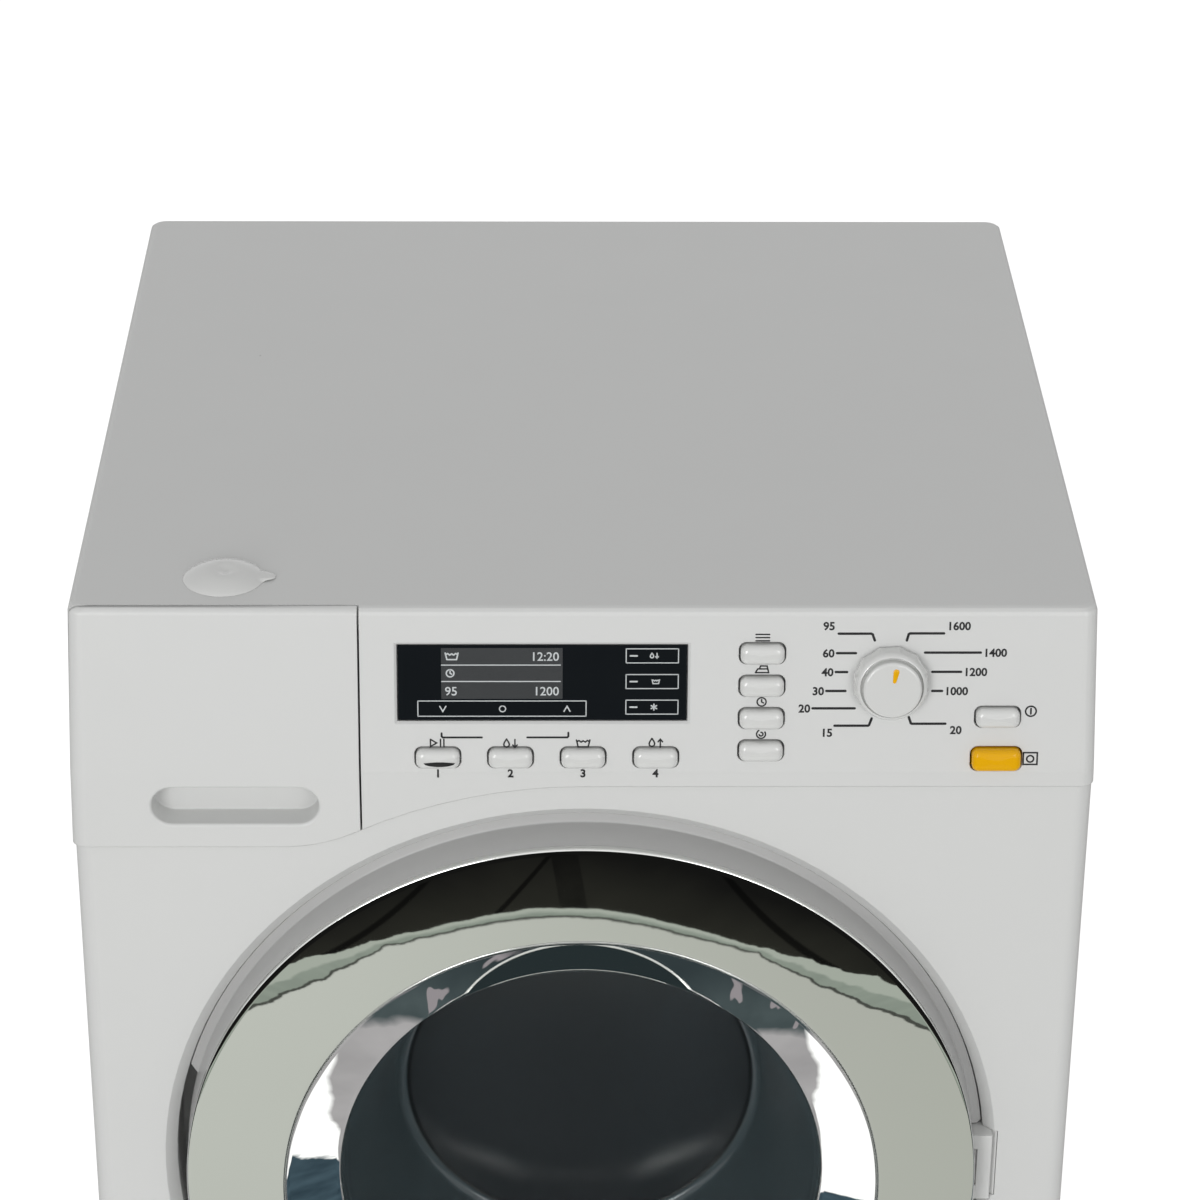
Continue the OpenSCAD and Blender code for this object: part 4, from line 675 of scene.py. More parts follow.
profile = bowl_profile()
rings = on_door(profile[:, :1], full_turn(192), profile[:, 1:])
tips = [on_door(0, 0, profile[0, 1]), on_door(0, 0, profile[-1, 1])]
place(shell("glass_bowl_turned", rings, tips), "tinted_glass", "door", "door_glass")

# %% [markdown]
# ## The drawer's grip
# The drawer's front has a slot for the fingertips: a flat back, a level floor and a rolled rim that catches the
# light. The front itself is the CAD piece with its corners joined. A slot-shaped solid is taken away from it,
# whose rings widen at the face by a quarter round.


# %% Drawer front with its slot
def outline(w, h, r, columns=96):
    """Rounded rectangle with equally many points in each corner: corner centre + radius along the direction."""
    r = min(r, w / 2 - 1e-4, h / 2 - 1e-4)
    t = np.linspace(0, np.pi / 2, columns // 4)
    corners = []
    for quarter, (side, rise) in enumerate(((1, 1), (-1, 1), (-1, -1), (1, -1))):
        x = side * (w / 2 - r) + r * np.cos(t + quarter * np.pi / 2)
        y = rise * (h / 2 - r) + r * np.sin(t + quarter * np.pi / 2)
        corners.append(np.stack([x, y], 1))
    return np.concatenate(corners)


def grip_slot():
    """Rings of one stadium: at the back inset by a small fillet, at the face widened by the rolled rim."""
    low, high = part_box("drawer_front")
    centre_x, centre_z, panel_y = -62.6, high.z / MM - 37.7, low.y / MM
    w, h, corner, depth, fillet, rim = 30.1, 7.5, 9, 5.5, 0.3, 0.6
    t = np.linspace(0, np.pi / 2, 7)
    grow = np.concatenate([-fillet * (1 - np.sin(t)), rim * (1 - np.cos(t)), [rim]])
    inward = np.concatenate([depth - fillet * (1 - np.cos(t)), rim * (1 - np.sin(t)), [-1.0]])
    rings = []
    for g, y in zip(grow, inward):
        x, z = outline(w + 2 * g, h + 2 * g, corner).T
        rings.append(np.stack([centre_x + x, np.full(len(x), panel_y + y), centre_z + z], -1) * MM)
    return shell("grip_slot", rings, [ring.mean(0) for ring in (rings[0], rings[-1])])


def from_work(name, work):
    """A new piece from a worked mesh, which is freed."""
    mesh = bpy.data.meshes.new(name)
    work.to_mesh(mesh)
    work.free()
    return linked(name, mesh)


def joined_copy(name, node):
    """A new piece from a CAD node's triangles, with the corners that lie together made one."""
    work = bmesh.new()
    work.from_mesh(bpy.data.objects[node].data)
    bmesh.ops.remove_doubles(work, verts=work.verts, dist=1e-7)
    return from_work(name, work)


drawer_front = carved(joined_copy("drawer_front_moulded", "drawer_front"), grip_slot())
place(drawer_front, "white_plastic", "drawer", "drawer_front")

# %% [markdown]
# ## Push buttons
# A button looks like a small cushion: a rounded rectangle whose rim rolls over into a nearly flat crown. Behind
# the panel it widens into the flange that keeps it in, and ends in the stem that presses the mat. Each level is
# one rounded rectangle, so a table of levels describes the whole piece.

# %% Button shapes
button_w, button_h, button_top, button_edge, button_crown = 7.8, 3.6, 1.9, 1.15, 0.16
row_pitch, row_down, column_x, column_top, column_pitch, right_x = 13.0, 28.1, 31.8, 8.33, 6.15, 74.05


def button(node, x, u, w=button_w, h=button_h):
    """Levels from the stem's end to the crown: each is (width, height, corner radius, distance out)."""
    wall_t, flange, stem, gap = 2.4, 0.9, 3.0, 0.2
    flange_top = -wall_t - gap
    flange_foot, shoulder = flange_top - flange, button_top - button_crown
    levels = [(w / 2, h / 2, 0.1, flange_foot - stem), (w / 2, h / 2, 0.1, flange_foot),
              (w + 1.8, h, 1.1, flange_foot), (w + 1.8, h, 1.1, flange_top), (w, h, 1.3, flange_top)]
    t = np.linspace(0, np.pi / 2, 12)
    for inset, rise in zip(button_edge * (1 - np.cos(t)), button_edge * np.sin(t)):
        levels.append((w - 2 * inset, h - 2 * inset, 1.3 - 0.62 * inset, shoulder - button_edge + rise))
    for k in np.linspace(0.15, 0.95, 8):
        levels.append(((w - 2 * button_edge) * (1 - k), (h - 2 * button_edge) * (1 - k), 0.58 * (1 - k),
                       shoulder + button_crown * (1 - (1 - k) ** 2)))
    rings = []
    for level_w, level_h, r, out in levels:
        across, down = outline(level_w, level_h, r).T
        rings.append(on_panel(x + across, u + down, out))
    ends = [on_panel(x, u, levels[0][3]), on_panel(x, u, button_top)]
    slot = "button_yellow" if node == "door_button" else "button_white"
    place(shell(node + "_cushion", rings, ends), slot, node, node)


for i, node in enumerate(["start_button", "water_in_button", "wash_button", "water_out_button"]):
    button(node, (i - 2) * row_pitch, row_down)
for i in range(4):
    button(f"option_button_{i + 1}", column_x, column_top + column_pitch * i)
button("power_button", right_x, 20.4)
button("door_button", right_x, 28.4, 8.8, 4.2)

# %% [markdown]
# ## The knob
# The knob's skirt has twelve shallow finger scallops, cut deep at the foot and fading out towards the cap. A
# groove runs round the flat cap. The skirt is a function of two parameters, the angle and the height, so one
# grid holds it.

# %% Programme knob
knob_base, knob_top = 0.35, 4.8


def knob_rings():
    """Radius = turned profile minus a scallop: a cosine-shaped hollow between 12 corners that fades with
    height."""
    foot, cap, land, roll_r, scallop_deep, scallop_high = 6.85, 5.2, 0.7, 0.5, 0.34, 2.5
    skirt = [(foot - 0.15, 0.0), (foot, 0.15), (foot, land)]
    for k in np.linspace(0, 1, 14)[1:]:
        height = land + (knob_top - 2.1) * np.sin(k * np.pi / 2) ** 0.9
        skirt.append((foot - (foot - cap - 0.45) * k ** 1.15, height))
    groove = [(cap + 0.33, 2.84), (cap + 0.12, 2.7), (cap, 2.85), (cap, 3.2)]
    roll = [(cap - roll_r + roll_r * math.cos(v), knob_top - roll_r + roll_r * math.sin(v))
            for v in np.linspace(0, np.pi / 2, 8)]
    flat = [(r, knob_top) for r in np.linspace(cap - 0.7, 0.3, 10)]
    levels = np.array(skirt + groove + roll + flat)
    radius, height = levels[:, :1], levels[:, 1:]
    a = full_turn(360)
    hollow = np.abs(np.cos(a * 6 + 0.35)) ** 0.75
    fade = np.clip(1 - height / scallop_high, 0, 1) ** 0.6 * (radius > cap + 0.34)
    radius = radius - scallop_deep * hollow * fade
    return on_panel(knob_at[0] + radius * np.sin(a), knob_at[1] - radius * np.cos(a), knob_base + height)


tips = [on_panel(*knob_at, knob_base), on_panel(*knob_at, knob_base + knob_top)]
place(shell("programme_knob_turned", knob_rings(), tips), "button_white", "knob", "programme_knob")


# %% Pointer
def pointer():
    """A low wedge, wider at its outer end than at its inner one, with rounded ends and a domed top."""
    lean, inner, outer, narrow, broad, cap = math.radians(9), 1.4, 4.1, 0.32, 0.54, knob_base + knob_top
    t = np.linspace(0, np.pi, 13)
    low = np.stack([narrow * np.cos(t + np.pi), inner + narrow + narrow * np.sin(t + np.pi)], 1)
    high = np.stack([broad * np.cos(t), outer - broad + broad * np.sin(t)], 1)
    loop = np.vstack([low, high])
    middle = loop.mean(0)
    rows = []
    for share, out in ((1, -0.35), (1, 0.01), (0.93, 0.06), (0.75, 0.1), (0.4, 0.12)):
        x, y = (middle + (loop - middle) * share).T
        across = x * math.cos(lean) + y * math.sin(lean)
        along = y * math.cos(lean) - x * math.sin(lean)
        rows.append(on_panel(knob_at[0] + across, knob_at[1] - along, cap + out))
    return shell("knob_pointer_wedge", rows, [rows[0].mean(0), rows[-1].mean(0)])


place(pointer(), "button_yellow", "knob", "knob_pointer")

# %% [markdown]
# ## The filler plug
# A soft dome closes the water filler on the top face. A finger dimple sits near its top, and a small tab at its
# right lets a child pull it off. Dome, dimple and tab are heights and radii over one grid of rings.


# %% Plug
def plug_rings():
    """Height = dome of a circle minus a round dimple; the radius grows into the tab over a narrow angle."""
    plug_r, plug_h, stem_r, stem_l, lift = 7.3, 2.2, 5.1, 4.9, 0.02
    tab_l, tab_from, tab_h, tab_half = 2.0, 6.2, 0.8, 0.2
    top_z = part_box("top_cover")[1].z / MM
    centre = (-64.4, face + 16.2)
    a = full_turn(144)
    r = np.concatenate([[stem_r, stem_r], plug_r * np.sin(np.linspace(np.pi / 2, 0.06, 26))])[:, None]
    dome = plug_h * (1 - (r / plug_r) ** 2) ** 0.8
    x, y = r * np.cos(a), r * np.sin(a)
    dimple = 0.75 * np.exp(-((x - 0.4) ** 2 + (y + 0.3) ** 2) / 3.2)
    z = np.where(np.arange(len(r))[:, None] < 2, lift, dome - dimple + lift)
    z[0] = -stem_l
    near_tab = np.exp(-(np.minimum(a, 2 * np.pi - a) / tab_half) ** 4)
    tab = tab_l * near_tab * np.clip((r - tab_from) / 1.1, 0, 1) * (z > 0)
    z = np.where((tab > 0.2) & (z < tab_h), tab_h * np.clip(z, lift, tab_h) ** 0.3, z)
    points = MM * np.stack([centre[0] + x + tab, centre[1] + y, top_z + z], -1)
    ends = [MM * np.array([*centre, top_z + end]) for end in (-stem_l, z[-1].mean())]
    return points, ends


rings, ends = plug_rings()
place(shell("filler_plug_dome", rings, ends), "button_white", "plug", "filler_plug")

# %% [markdown]
# ## Printed marks
# The lines round the knob and the signs by the buttons are pad printed: a film of ink a few hundredths of a
# millimetre thick. Each is a thin closed plate that lies on the panel. The signs are plain ones that any such
# machine could carry, and the labels of the dial are numbers.

# %% Plates of ink
ink_low, ink_high = -0.01, 0.02


def stroke(path, width, steps=7):
    """Outline of a line with round ends: the path moved sideways by half the width, with mitred bends."""
    path = np.asarray(path, float)
    way = np.diff(path, axis=0)
    way /= np.linalg.norm(way, axis=1)[:, None]
    side = np.stack([-way[:, 1], way[:, 0]], 1)
    joint = np.vstack([side[:1], side[:-1] + side[1:], side[-1:]])
    joint /= np.linalg.norm(joint, axis=1)[:, None]
    reach = np.ones(len(path))
    reach[1:-1] = 1 / np.maximum(0.4, (joint[1:-1] * side[1:]).sum(1))
    shift = joint * (reach * width / 2)[:, None]
    t = np.linspace(-np.pi / 2, np.pi / 2, steps)[1:-1, None]
    end = path[-1] + width / 2 * (np.cos(t) * way[-1] - np.sin(t) * side[-1])
    start = path[0] - width / 2 * (np.cos(t) * way[0] - np.sin(t) * side[0])
    return np.vstack([path + shift, end, (path - shift)[::-1], start])


def circle(x, u, r, start=0, end=360, steps=33):
    """Points of a circle or an arc, measured clockwise from the top."""
    a = np.radians(np.linspace(start, end, steps))
    return np.stack([x + r * np.sin(a), u - r * np.cos(a)], 1)


def plates(name, outlines, slot, low, high):
    """Closed prisms on the panel between two heights, one for each outline."""
    points, faces, at = [], [], 0
    for loop in outlines:
        n = len(loop)
        points += [on_panel(loop[:, 0], loop[:, 1], out) for out in (low, high)]
        around = np.arange(n)
        ahead_of = np.roll(around, -1)
        faces += [(at + around).tolist(), (at + n + around).tolist()]
        faces += (at + np.stack([around, ahead_of, ahead_of + n, around + n], -1)).tolist()
        at += 2 * n
    return place(solid(name, np.concatenate(points), faces, smooth=False), slot, "cabinet")


# %% The dial's lines, the bracket and the power sign
dial_w, bracket_w, power_x, power_u = 0.46, 0.36, 79.98, 19.35
dial = [[(45.27, 4.66), (51.05, 4.66), (51.3, 4.8), (51.7, 5.94)], [(45.05, 8.33), (48.4, 8.33)],
        [(44.92, 11.9), (46.92, 11.9)], [(43.31, 15.48), (46.7, 15.48)], [(40.92, 18.78), (48.44, 18.78)],
        [(44.92, 22.09), (50.9, 22.09), (51.1, 21.95), (51.53, 20.71)],
        [(63.96, 4.61), (57.95, 4.61), (57.7, 4.75), (57.4, 5.94)], [(60.7, 8.23), (70.61, 8.23)],
        [(62.09, 11.86), (67.22, 11.86)], [(62.22, 15.48), (63.96, 15.48)],
        [(58.18, 20.48), (58.55, 21.6), (58.75, 21.72), (64.74, 21.72)]]
bracket_lines = [[(-25.3, 23.5), (-25.3, 24.1), (-25.1, 24.3), (-18.1, 24.3)],
                 [(-10.0, 24.3), (-2.85, 24.3), (-2.65, 24.1), (-2.65, 23.4)]]
marks = [stroke(path, dial_w) for path in dial] + [stroke(path, bracket_w) for path in bracket_lines]
marks.append(stroke(circle(power_x, power_u, 0.95, steps=40), 0.3))
marks.append(stroke([(power_x, power_u - 0.5), (power_x, power_u + 0.5)], 0.32))
print("lines", len(marks))


# %% Signs by the buttons
def sign(kind, x, u, s=1.0):
    """The strokes of one plain laundry sign, centred on x and u, about 2 mm high for s = 1."""
    drop = [(0, -0.9), (0.36, -0.3), (0.5, 0.1), (0.42, 0.45), (0, 0.66), (-0.42, 0.45), (-0.5, 0.1),
            (-0.36, -0.3), (0, -0.9)]
    drop = [(px - 0.7, pu) for px, pu in drop]
    wave = [(-1.1, -0.3), (-0.75, -0.5), (-0.37, -0.2), (0, -0.45), (0.37, -0.2), (0.75, -0.5), (1.1, -0.3)]
    arrow = [(0.8, -0.8), (0.8, 0.7)], [(0.4, 0.25), (0.8, 0.75), (1.2, 0.25)]
    ray = 0.75
    signs = {
        "start": [[(-1.3, -0.7), (-0.2, 0), (-1.3, 0.7), (-1.3, -0.7)],
                  *[[(v, -0.7), (v, 0.7)] for v in (0.5, 1.1)]],
        "fill": [drop, *arrow],
        "wash": [[(-1.2, -0.6), (-0.9, 0.7), (0.9, 0.7), (1.2, -0.6)], wave],
        "drain": [drop, *[[(px, -pu) for px, pu in path] for path in arrow]],
        "list": [[(-1.2, v), (1.2, v)] for v in (-0.6, 0, 0.6)],
        "iron": [[(-1.2, 0.6), (-0.8, -0.1), (1.0, -0.1), (1.15, 0.6), (-1.2, 0.6)],
                 [(-0.5, -0.1), (-0.3, -0.65), (0.85, -0.65), (1.0, -0.1)]],
        "clock": [circle(0, 0, 0.8), [(0, -0.45), (0, 0), (0.35, 0.2)]],
        "spin": [circle(0, 0, 0.35, 0, 250, 12), circle(0, 0, 0.8, 60, 330, 24)],
        "door": [[(-1.0, -0.9), (1.0, -0.9), (1.0, 0.9), (-1.0, 0.9), (-1.0, -0.9)],
                 circle(0, 0.05, 0.5, steps=20)],
        "snow": [[(side * ray * math.sin(v), side * ray * math.cos(v)) for side in (1, -1)]
                 for v in (0, 1.047, 2.094)],
    }
    return [stroke([(x + s * px, u + s * pu) for px, pu in path], 0.27 * s ** 0.5) for path in signs[kind]]


for kind, x, u in (("start", -26, 25.35), ("fill", -13, 25.5), ("wash", 0, 25.4), ("drain", 13, 25.4),
                   ("list", column_x, 5.4), ("iron", column_x, 11.4), ("clock", column_x, 17.55),
                   ("spin", column_x, 23.7)):
    marks += sign(kind, x, u)
marks += sign("door", 80.2, 28.4, 1.25)
plates("panel_marks", marks, "dark_plastic", ink_low, ink_high)


# %% Numbers on the dial
def numbers(name, size, rows, slot, low, high, bolder=0.03):
    """Numbers as thin plates: Blender's own letter shapes, grown by a share of their size and laid on the
    panel."""
    work = bmesh.new()
    for align, group in rows.items():
        for text, x, u in group:
            curve = bpy.data.curves.new("number", "FONT")
            curve.body, curve.size, curve.align_x, curve.resolution_u = text, size, align, 3
            curve.offset, curve.extrude = bolder * size, 0.5
            sample = linked("number", curve)
            mesh = finished_mesh(sample)
            points = np.zeros(len(mesh.vertices) * 3)
            mesh.vertices.foreach_get("co", points)
            across, up, out = points.reshape(-1, 3).T
            points = on_panel(x + across, u - up + 0.36 * size, np.where(out > 0, high, low))
            mesh.vertices.foreach_set("co", points.ravel())
            work.from_mesh(mesh)
            bpy.data.objects.remove(sample)
            bpy.data.curves.remove(curve)
            bpy.data.meshes.remove(mesh)
    bmesh.ops.remove_doubles(work, verts=work.verts, dist=1e-7)
    bmesh.ops.recalc_face_normals(work, faces=work.faces)
    return place(from_work(name, work), slot, "cabinet")


labels = {"RIGHT": [("95", 44.6, 3.2), ("60", 44.6, 8.33), ("40", 44.5, 11.9), ("30", 42.9, 15.48),
                    ("20", 40.5, 18.78), ("15", 44.6, 23.4)],
          "LEFT": [("1600", 64.5, 3.2), ("1400", 71.1, 8.23), ("1200", 67.7, 11.86), ("1000", 64.4, 15.48),
                   ("20", 65.6, 22.9)],
          "CENTER": [(str(i + 1), (i - 2) * row_pitch, 31.15) for i in range(4)]}
numbers("dial_numbers", 2.1, labels, "dark_plastic", ink_low, ink_high)

# %% [markdown]
# ## The display
# Behind the dark lens a small picture of a display is printed in pale grey: a raster field with two rules and a
# few numbers, a bar with arrows, and three boxes at the right. The raster is a pattern of dots in the material.


# %% Pale print on the lens
def frame_lines(x0, x1, u0, u1, width=0.18):
    """The four sides of a box as strokes."""
    corners = [(x0, u0), (x1, u0), (x1, u1), (x0, u1), (x0, u0)]
    return [stroke(corners[i:i + 2], width) for i in range(4)]


sunk = -0.4
print_low, print_high, raster_high = sunk - 0.01, sunk + 0.022, sunk + 0.012
arrow_half, bar_u, box_h = 0.55, 19.0, 2.66
glow = [stroke([(-25.2, v), (-4.1, v)], 0.2) for v in (10.7, 13.8)] + frame_lines(-29.5, 0.5, 17.5, 20.4)
for x, way in ((-25.05, 0.5), (-2.9, -0.5)):
    glow.append(stroke([(x - arrow_half, bar_u - way), (x, bar_u + way), (x + arrow_half, bar_u - way)], 0.22))
glow.append(stroke(circle(-14.4, bar_u, 0.55, steps=25), 0.2))
for u in (7.64, 12.5, 17.35):
    glow += frame_lines(7.6, 16.9, u, u + box_h)
    glow.append(stroke([(8.35, u + box_h / 2), (9.55, u + box_h / 2)], 0.3))
for kind, x, u, size in (("fill", 12.6, 8.97, 0.6), ("wash", 12.9, 13.83, 0.55), ("snow", 12.6, 18.68, 0.75),
                         ("wash", -23.4, 9.0, 0.95), ("clock", -23.7, 12.25, 0.85)):
    glow += sign(kind, x, u, size)
plates("display_lines", glow, "display_lens", print_low, print_high)
digits = {"RIGHT": [("12:20", -4.3, 9.05), ("1200", -4.3, 15.6)], "LEFT": [("95", -24.7, 15.6)]}
numbers("display_numbers", 2.3, digits, "display_lens", print_low, print_high, bolder=0.01)
field = np.array([(-25.3, 7.5), (-3.7, 7.5), (-3.7, 17.1), (-25.3, 17.1)])
plates("display_raster", [field], "display_lens", print_low, raster_high)


# %% Finish of the display's print and of the ink
def raster(name):
    """Dots on a grid across and down the panel: sine of x times sine of u, cut at a low level."""
    material = plastic(name, (0.03, 0.033, 0.035), (0.04, 0.043, 0.045), 0.5, 0.35, 0.05, rubbed=0, edge=0.02)
    net = material.node_tree
    shader = next(n for n in net.nodes if n.type == "BSDF_PRINCIPLED")
    spot, dot_pitch = object_spot(net), 0.27
    waves = []
    for axis in ((1.0, 0, 0), tuple(panel_down)):
        along = vector_calc(net, "DOT_PRODUCT", spot, axis)
        waves.append(calc(net, "SINE", calc(net, "MULTIPLY", along, 2 * math.pi / (dot_pitch * MM))))
    dots = calc(net, "GREATER_THAN", calc(net, "MULTIPLY", *waves), 0.1)
    give(net, shader.inputs["Base Color"], blend(net, dots, (0.012, 0.014, 0.016), (0.075, 0.08, 0.083)))
    return material


pale_grey = (0.62, 0.65, 0.66)
pale = plastic("display_print", pale_grey, tuple(0.8 * c for c in pale_grey), 0.5, 0.4, 0.05, grain=4000.0,
               depth=0.001, edge=0.02, rubbed=0)
ink = plastic("printed_ink", (0.012, 0.012, 0.013), (0.02, 0.02, 0.022), 0.5, 0.35, 0.1, depth=0.001, edge=0.02,
              rubbed=0)
dotted = raster("display_dots")
for name, material in (("display_lines", pale), ("display_numbers", pale), ("display_raster", dotted),
                       ("panel_marks", ink), ("dial_numbers", ink)):
    bpy.data.objects[name].data.materials[0] = material
print("inks", pale.name, dotted.name, ink.name)


# %% The dark crescent in the start button
def crescent():
    """A thin moon on the button's lower half: its lower edge is bowed more than its upper one, and it follows
    the button's crown across and its rolled rim down."""
    bow_down, bow_up, half_w, left_x, length = 0.72, 0.24, button_w / 2, -28.5, 5.6
    start_x, shoulder, roll_from = -2 * row_pitch, button_top - button_crown, row_down + 0.65
    t = np.linspace(0, 1, 25)
    x = left_x + length * t
    middle = row_down + 0.48
    lower = middle + bow_down * np.sin(np.pi * t) ** 0.5
    upper = middle - bow_up * np.sin(np.pi * t)
    top = shoulder + button_crown * (1 - np.abs(x - start_x) / half_w) ** 0.5
    past = np.clip(lower - roll_from, 0, 1.1)
    sink = button_edge - np.sqrt(np.clip(button_edge ** 2 - past ** 2, 0, None))
    halfway = (upper + lower) / 2
    rows = [on_panel(x, upper, top + 0.01), on_panel(x, halfway, top - sink * 0.35 + 0.02),
            on_panel(x, lower, top - sink + 0.01), on_panel(x, halfway, top - sink - 0.25)]
    columns = np.stack(rows, 1)
    return shell("start_button_mark", columns, [columns[0].mean(0), columns[-1].mean(0)])


mark = place(crescent(), "dark_plastic", "start_button")
mark.data.materials[0] = ink

# %% [markdown]
# ## Studio
# Two large softboxes stand in front of the toy at the left and right, and a pale room fills the shadows. The
# lamps are at a plain level. The camera, mirrors and glass see a white room, and other rays a dimmer one. The
# floor keeps the toy's shadow.


# %% Lamps and room
def softbox(name, x, watts):
    """A rectangular lamp in front of the toy, aimed at a point 80 mm above the floor."""
    where, aim = Vector((x, -1.5, 0.6)), Vector((0, 0, 0.08))
    lamp = bpy.data.lights.new(name, "AREA")
    lamp.shape, lamp.size, lamp.size_y, lamp.energy = "RECTANGLE", 0.5, 0.7, watts
    made = linked(name, lamp)
    made.location = where
    made.rotation_euler = (aim - where).to_track_quat("-Z", "Y").to_euler()
    print(name, watts, "W")


def seen_by(net, *rays):
    """1 for the named kinds of rays, 0 for the others."""
    path = add(net, "ShaderNodeLightPath")
    total = 0.0
    for ray in rays:
        total = calc(net, "ADD", total, path.outputs[f"Is {ray} Ray"], clamp=True)
    return total


softbox("softbox_left", -0.62, 8.0)
softbox("softbox_right", 0.62, 4.1)
world = bpy.data.worlds.new("studio_room")
bpy.context.scene.world = world
net = emptied(world)
room_level = calc(net, "MULTIPLY_ADD", seen_by(net, "Camera", "Glossy", "Transmission"), 0.55, 0.45)
show(net, add(net, "ShaderNodeBackground", {"Color": (1, 1, 1, 1), "Strength": room_level}), "World")


# %% Floor
def ground(name, x, y, z, finish):
    """A flat sheet between two corners, which belongs to the studio."""
    mesh = bpy.data.meshes.new(name)
    mesh.from_pydata([(x[0], y[0], z), (x[1], y[0], z), (x[1], y[1], z), (x[0], y[1], z)], [], [(0, 1, 2, 3)])
    mesh.materials.append(finish)
    made = linked(name, mesh)
    return made


cloth, net = blank("studio_floor")
ground("floor", (-8, 8), (-8, 8), 0.0, cloth)
matt = add(net, "ShaderNodeBsdfDiffuse", {"Color": (0.84, 0.84, 0.83, 1)})
glow_level = calc(net, "MULTIPLY", seen_by(net, "Camera", "Transmission"), 0.68)
lift = add(net, "ShaderNodeEmission", {"Strength": glow_level})
show(net, add(net, "ShaderNodeAddShader", {0: matt.outputs[0], 1: lift.outputs[0]}))
print("floor laid")

# %% [markdown]
# ## What the chrome sees
# Chrome has no colour of its own: it shows the room. In the photograph the ring shows the dark end of the
# studio, a pale edge of the table and then the table itself. A glowing card on the floor in front of the toy
# carries a painted reflection of these, and only mirrors can see it.

# %% Reflection card
finish, net = blank("painted_reflection_card")
# The card is a painted reflection: it glows, though it is no lamp, and only mirrors see it.
card = ground("reflection_card", (-3, 3), (-4, -0.09), 0.002, finish)
for name in ("camera", "diffuse", "transmission", "volume_scatter", "shadow"):
    setattr(card, "visible_" + name, False)


def plus(a, b):
    """a + b on the card."""
    return calc(net, "ADD", a, b)


def minus(a, b):
    """a - b on the card."""
    return calc(net, "SUBTRACT", a, b)


def times(a, b, c=0.0):
    """a times b, plus c if wanted, on the card."""
    return calc(net, "MULTIPLY_ADD", a, b, c)


def inverse(mask):
    """1 where the mask is 0, and 0 where it is 1."""
    return calc(net, "SUBTRACT", 1.0, mask, clamp=True)


def mix(share, a, b):
    """Colour a where share is 0, colour b where it is 1, on the card."""
    return blend(net, share, a, b)


def step(value, at, soft):
    """0 below at, 1 above at + soft, straight in between."""
    return calc(net, "DIVIDE", minus(value, at), soft, clamp=True)


def cloud(scale, detail=3.0, squeeze=(1.0, 1.0, 1.0)):
    """Noise between 0 and 1 over the card, squeezed along an axis if wanted."""
    squeezed = add(net, "ShaderNodeMapping", {"Vector": coords, "Scale": squeeze}).outputs[0]
    return noise(net, squeezed, scale, detail)


def ripple(scale, amount):
    """Noise round zero, for a wavy border."""
    return times(minus(cloud(scale), 0.5), amount)


def bar(start, end, width):
    """1 on the straight line through two points of the floor, 0 beyond half the width."""
    way = np.subtract(end, start) / math.dist(start, end)
    off = times(across, way[1], times(along, -way[0], start[1] * way[0] - start[0] * way[1]))
    return inverse(step(calc(net, "ABSOLUTE", off), width / 2, 0.001))


coords = object_spot(net)
xyz = add(net, "ShaderNodeSeparateXYZ", {0: coords})
across, along = xyz.outputs[0], xyz.outputs[1]
wide, reach = calc(net, "ABSOLUTE", across), times(along, -1.0)
print("card laid, only mirrors see it")

# %% The far end of the painted reflection: the dark room, the table's edge and the table
edge_at, edge_bow, widen_from, least_band = 0.634, 7.5, 0.105, 0.0085
dark_room, dim_room, pale_edge = (0.009, 0.009, 0.0085), (0.027, 0.027, 0.022), (0.46, 0.50, 0.44)
from_edge = minus(plus(along, edge_at), times(times(across, across), edge_bow))
uneven = plus(step(wide, 0.08, 0.06), 0.3)
edge = times(ripple(42.0, 0.016), uneven, from_edge)
widening = times(calc(net, "MAXIMUM", minus(wide, widen_from), 0.0), 0.8)
past_band = times(ripple(60.0, 0.014), uneven, minus(from_edge, plus(widening, least_band)))
far = mix(step(plus(from_edge, ripple(16.0, 0.05)), -0.055, 0.06), dark_room, dim_room)
legs = 0.0
for start, end, width in (((-0.072, -0.665), (-0.117, -0.540), 0.0018),
                          ((-0.023, -0.665), (-0.043, -0.625), 0.0018),
                          ((0.098, -0.611), (0.128, -0.515), 0.0024)):
    legs = calc(net, "MAXIMUM", legs, bar(start, end, width))
far = mix(times(legs, 0.8), far, (0.003, 0.003, 0.003))
smear = times(bar((-0.006, -0.69), (0.0, -0.635), 0.016), cloud(60.0, 5.0, (1.0, 0.6, 1.0)))
far = mix(smear, far, (0.004, 0.004, 0.004))
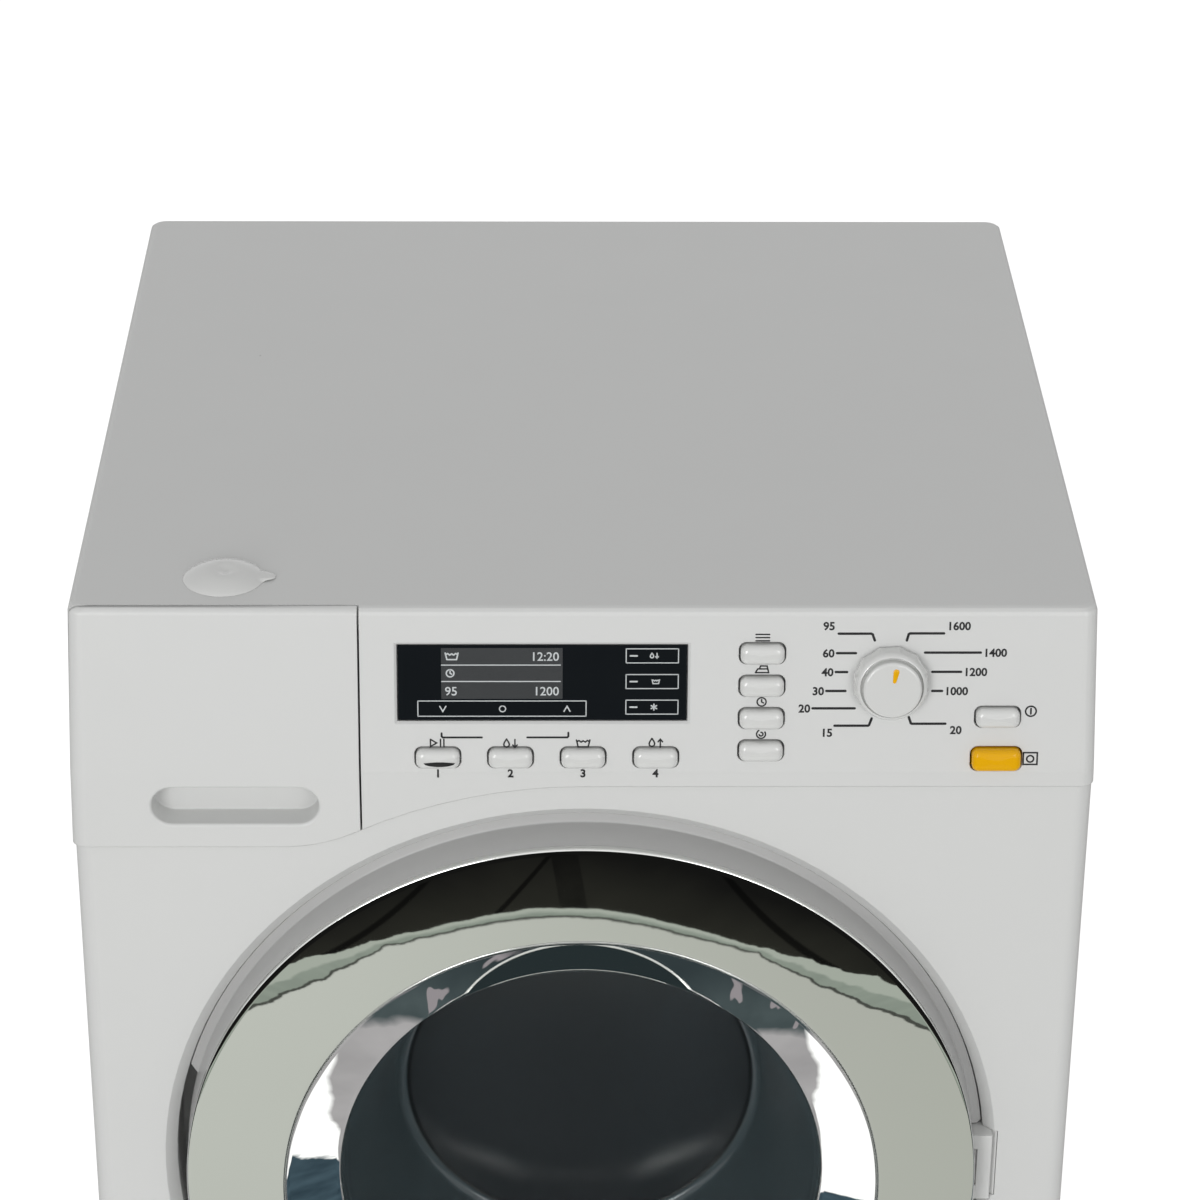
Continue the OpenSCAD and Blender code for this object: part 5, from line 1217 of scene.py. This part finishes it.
rim = mix(step(edge, 0.0, 0.0012), far, pale_edge)
streaks = mix(cloud(34.0, 2.0, (1.0, 3.0, 1.0)), (0.25, 0.29, 0.25), (0.37, 0.42, 0.36))
green = mix(step(times(widening, -0.45, edge), 0.0028, 0.003), rim, streaks)
line = mix(step(times(widening, 0.09, past_band), -0.0018, 0.0014), green, (0.075, 0.08, 0.07))
table = mix(step(across, -0.15, 0.3), (0.63, 0.65, 0.60), (0.515, 0.53, 0.48))
room_end = mix(step(past_band, 0.0, 0.002), line, table)
print("far end of the card painted")

# %% Close by, for the bezel: a painted reflection of a dark slate zone, two grey patches and the white of the lamps
slate = mix(cloud(55.0, 4.0), (0.014, 0.022, 0.026), (0.058, 0.078, 0.085))
slate = mix(times(step(wide, 0.007, 0.014), cloud(80.0, 3.0)), slate, (0.12, 0.155, 0.16))
glints = times(step(cloud(95.0, 2.0, (1.0, 2.2, 1.0)), 0.60, 0.02), step(wide, 0.006, 0.002))
slate = mix(glints, slate, (0.36, 0.33, 0.35))
patch = mix(cloud(42.0, 3.0), (0.30, 0.29, 0.30), (0.62, 0.60, 0.61))
close = mix(step(plus(wide, ripple(75.0, 0.009)), 0.025, 0.003), slate, patch)
slope = times(wide, -0.8, minus(reach, 0.1086))
close = mix(step(plus(slope, ripple(60.0, 0.006)), 0.0, 0.0015), close, (1.35, 1.35, 1.35))
lower_end = times(step(across, -0.01, 0.02), -0.040, 0.227)
blue = mix(cloud(90.0, 5.0), (0.010, 0.022, 0.034), (0.10, 0.16, 0.20))
close = mix(step(plus(minus(reach, lower_end), ripple(110.0, 0.010)), 0.0, 0.0015), close, blue)
under_glass = times(inverse(step(wide, 0.066, 0.012)), step(reach, 0.203, 0.006))
close = mix(under_glass, close, (0.030, 0.043, 0.048))
room_from = times(step(wide, 0.07, 0.02), -0.05, 0.305)
shade = mix(step(minus(reach, room_from), 0.0, 0.004), close, room_end)
show(net, add(net, "ShaderNodeEmission", {"Color": shade, "Strength": 1.0}))
print("studio ready")

# %% End
bpy.context.view_layer.update()
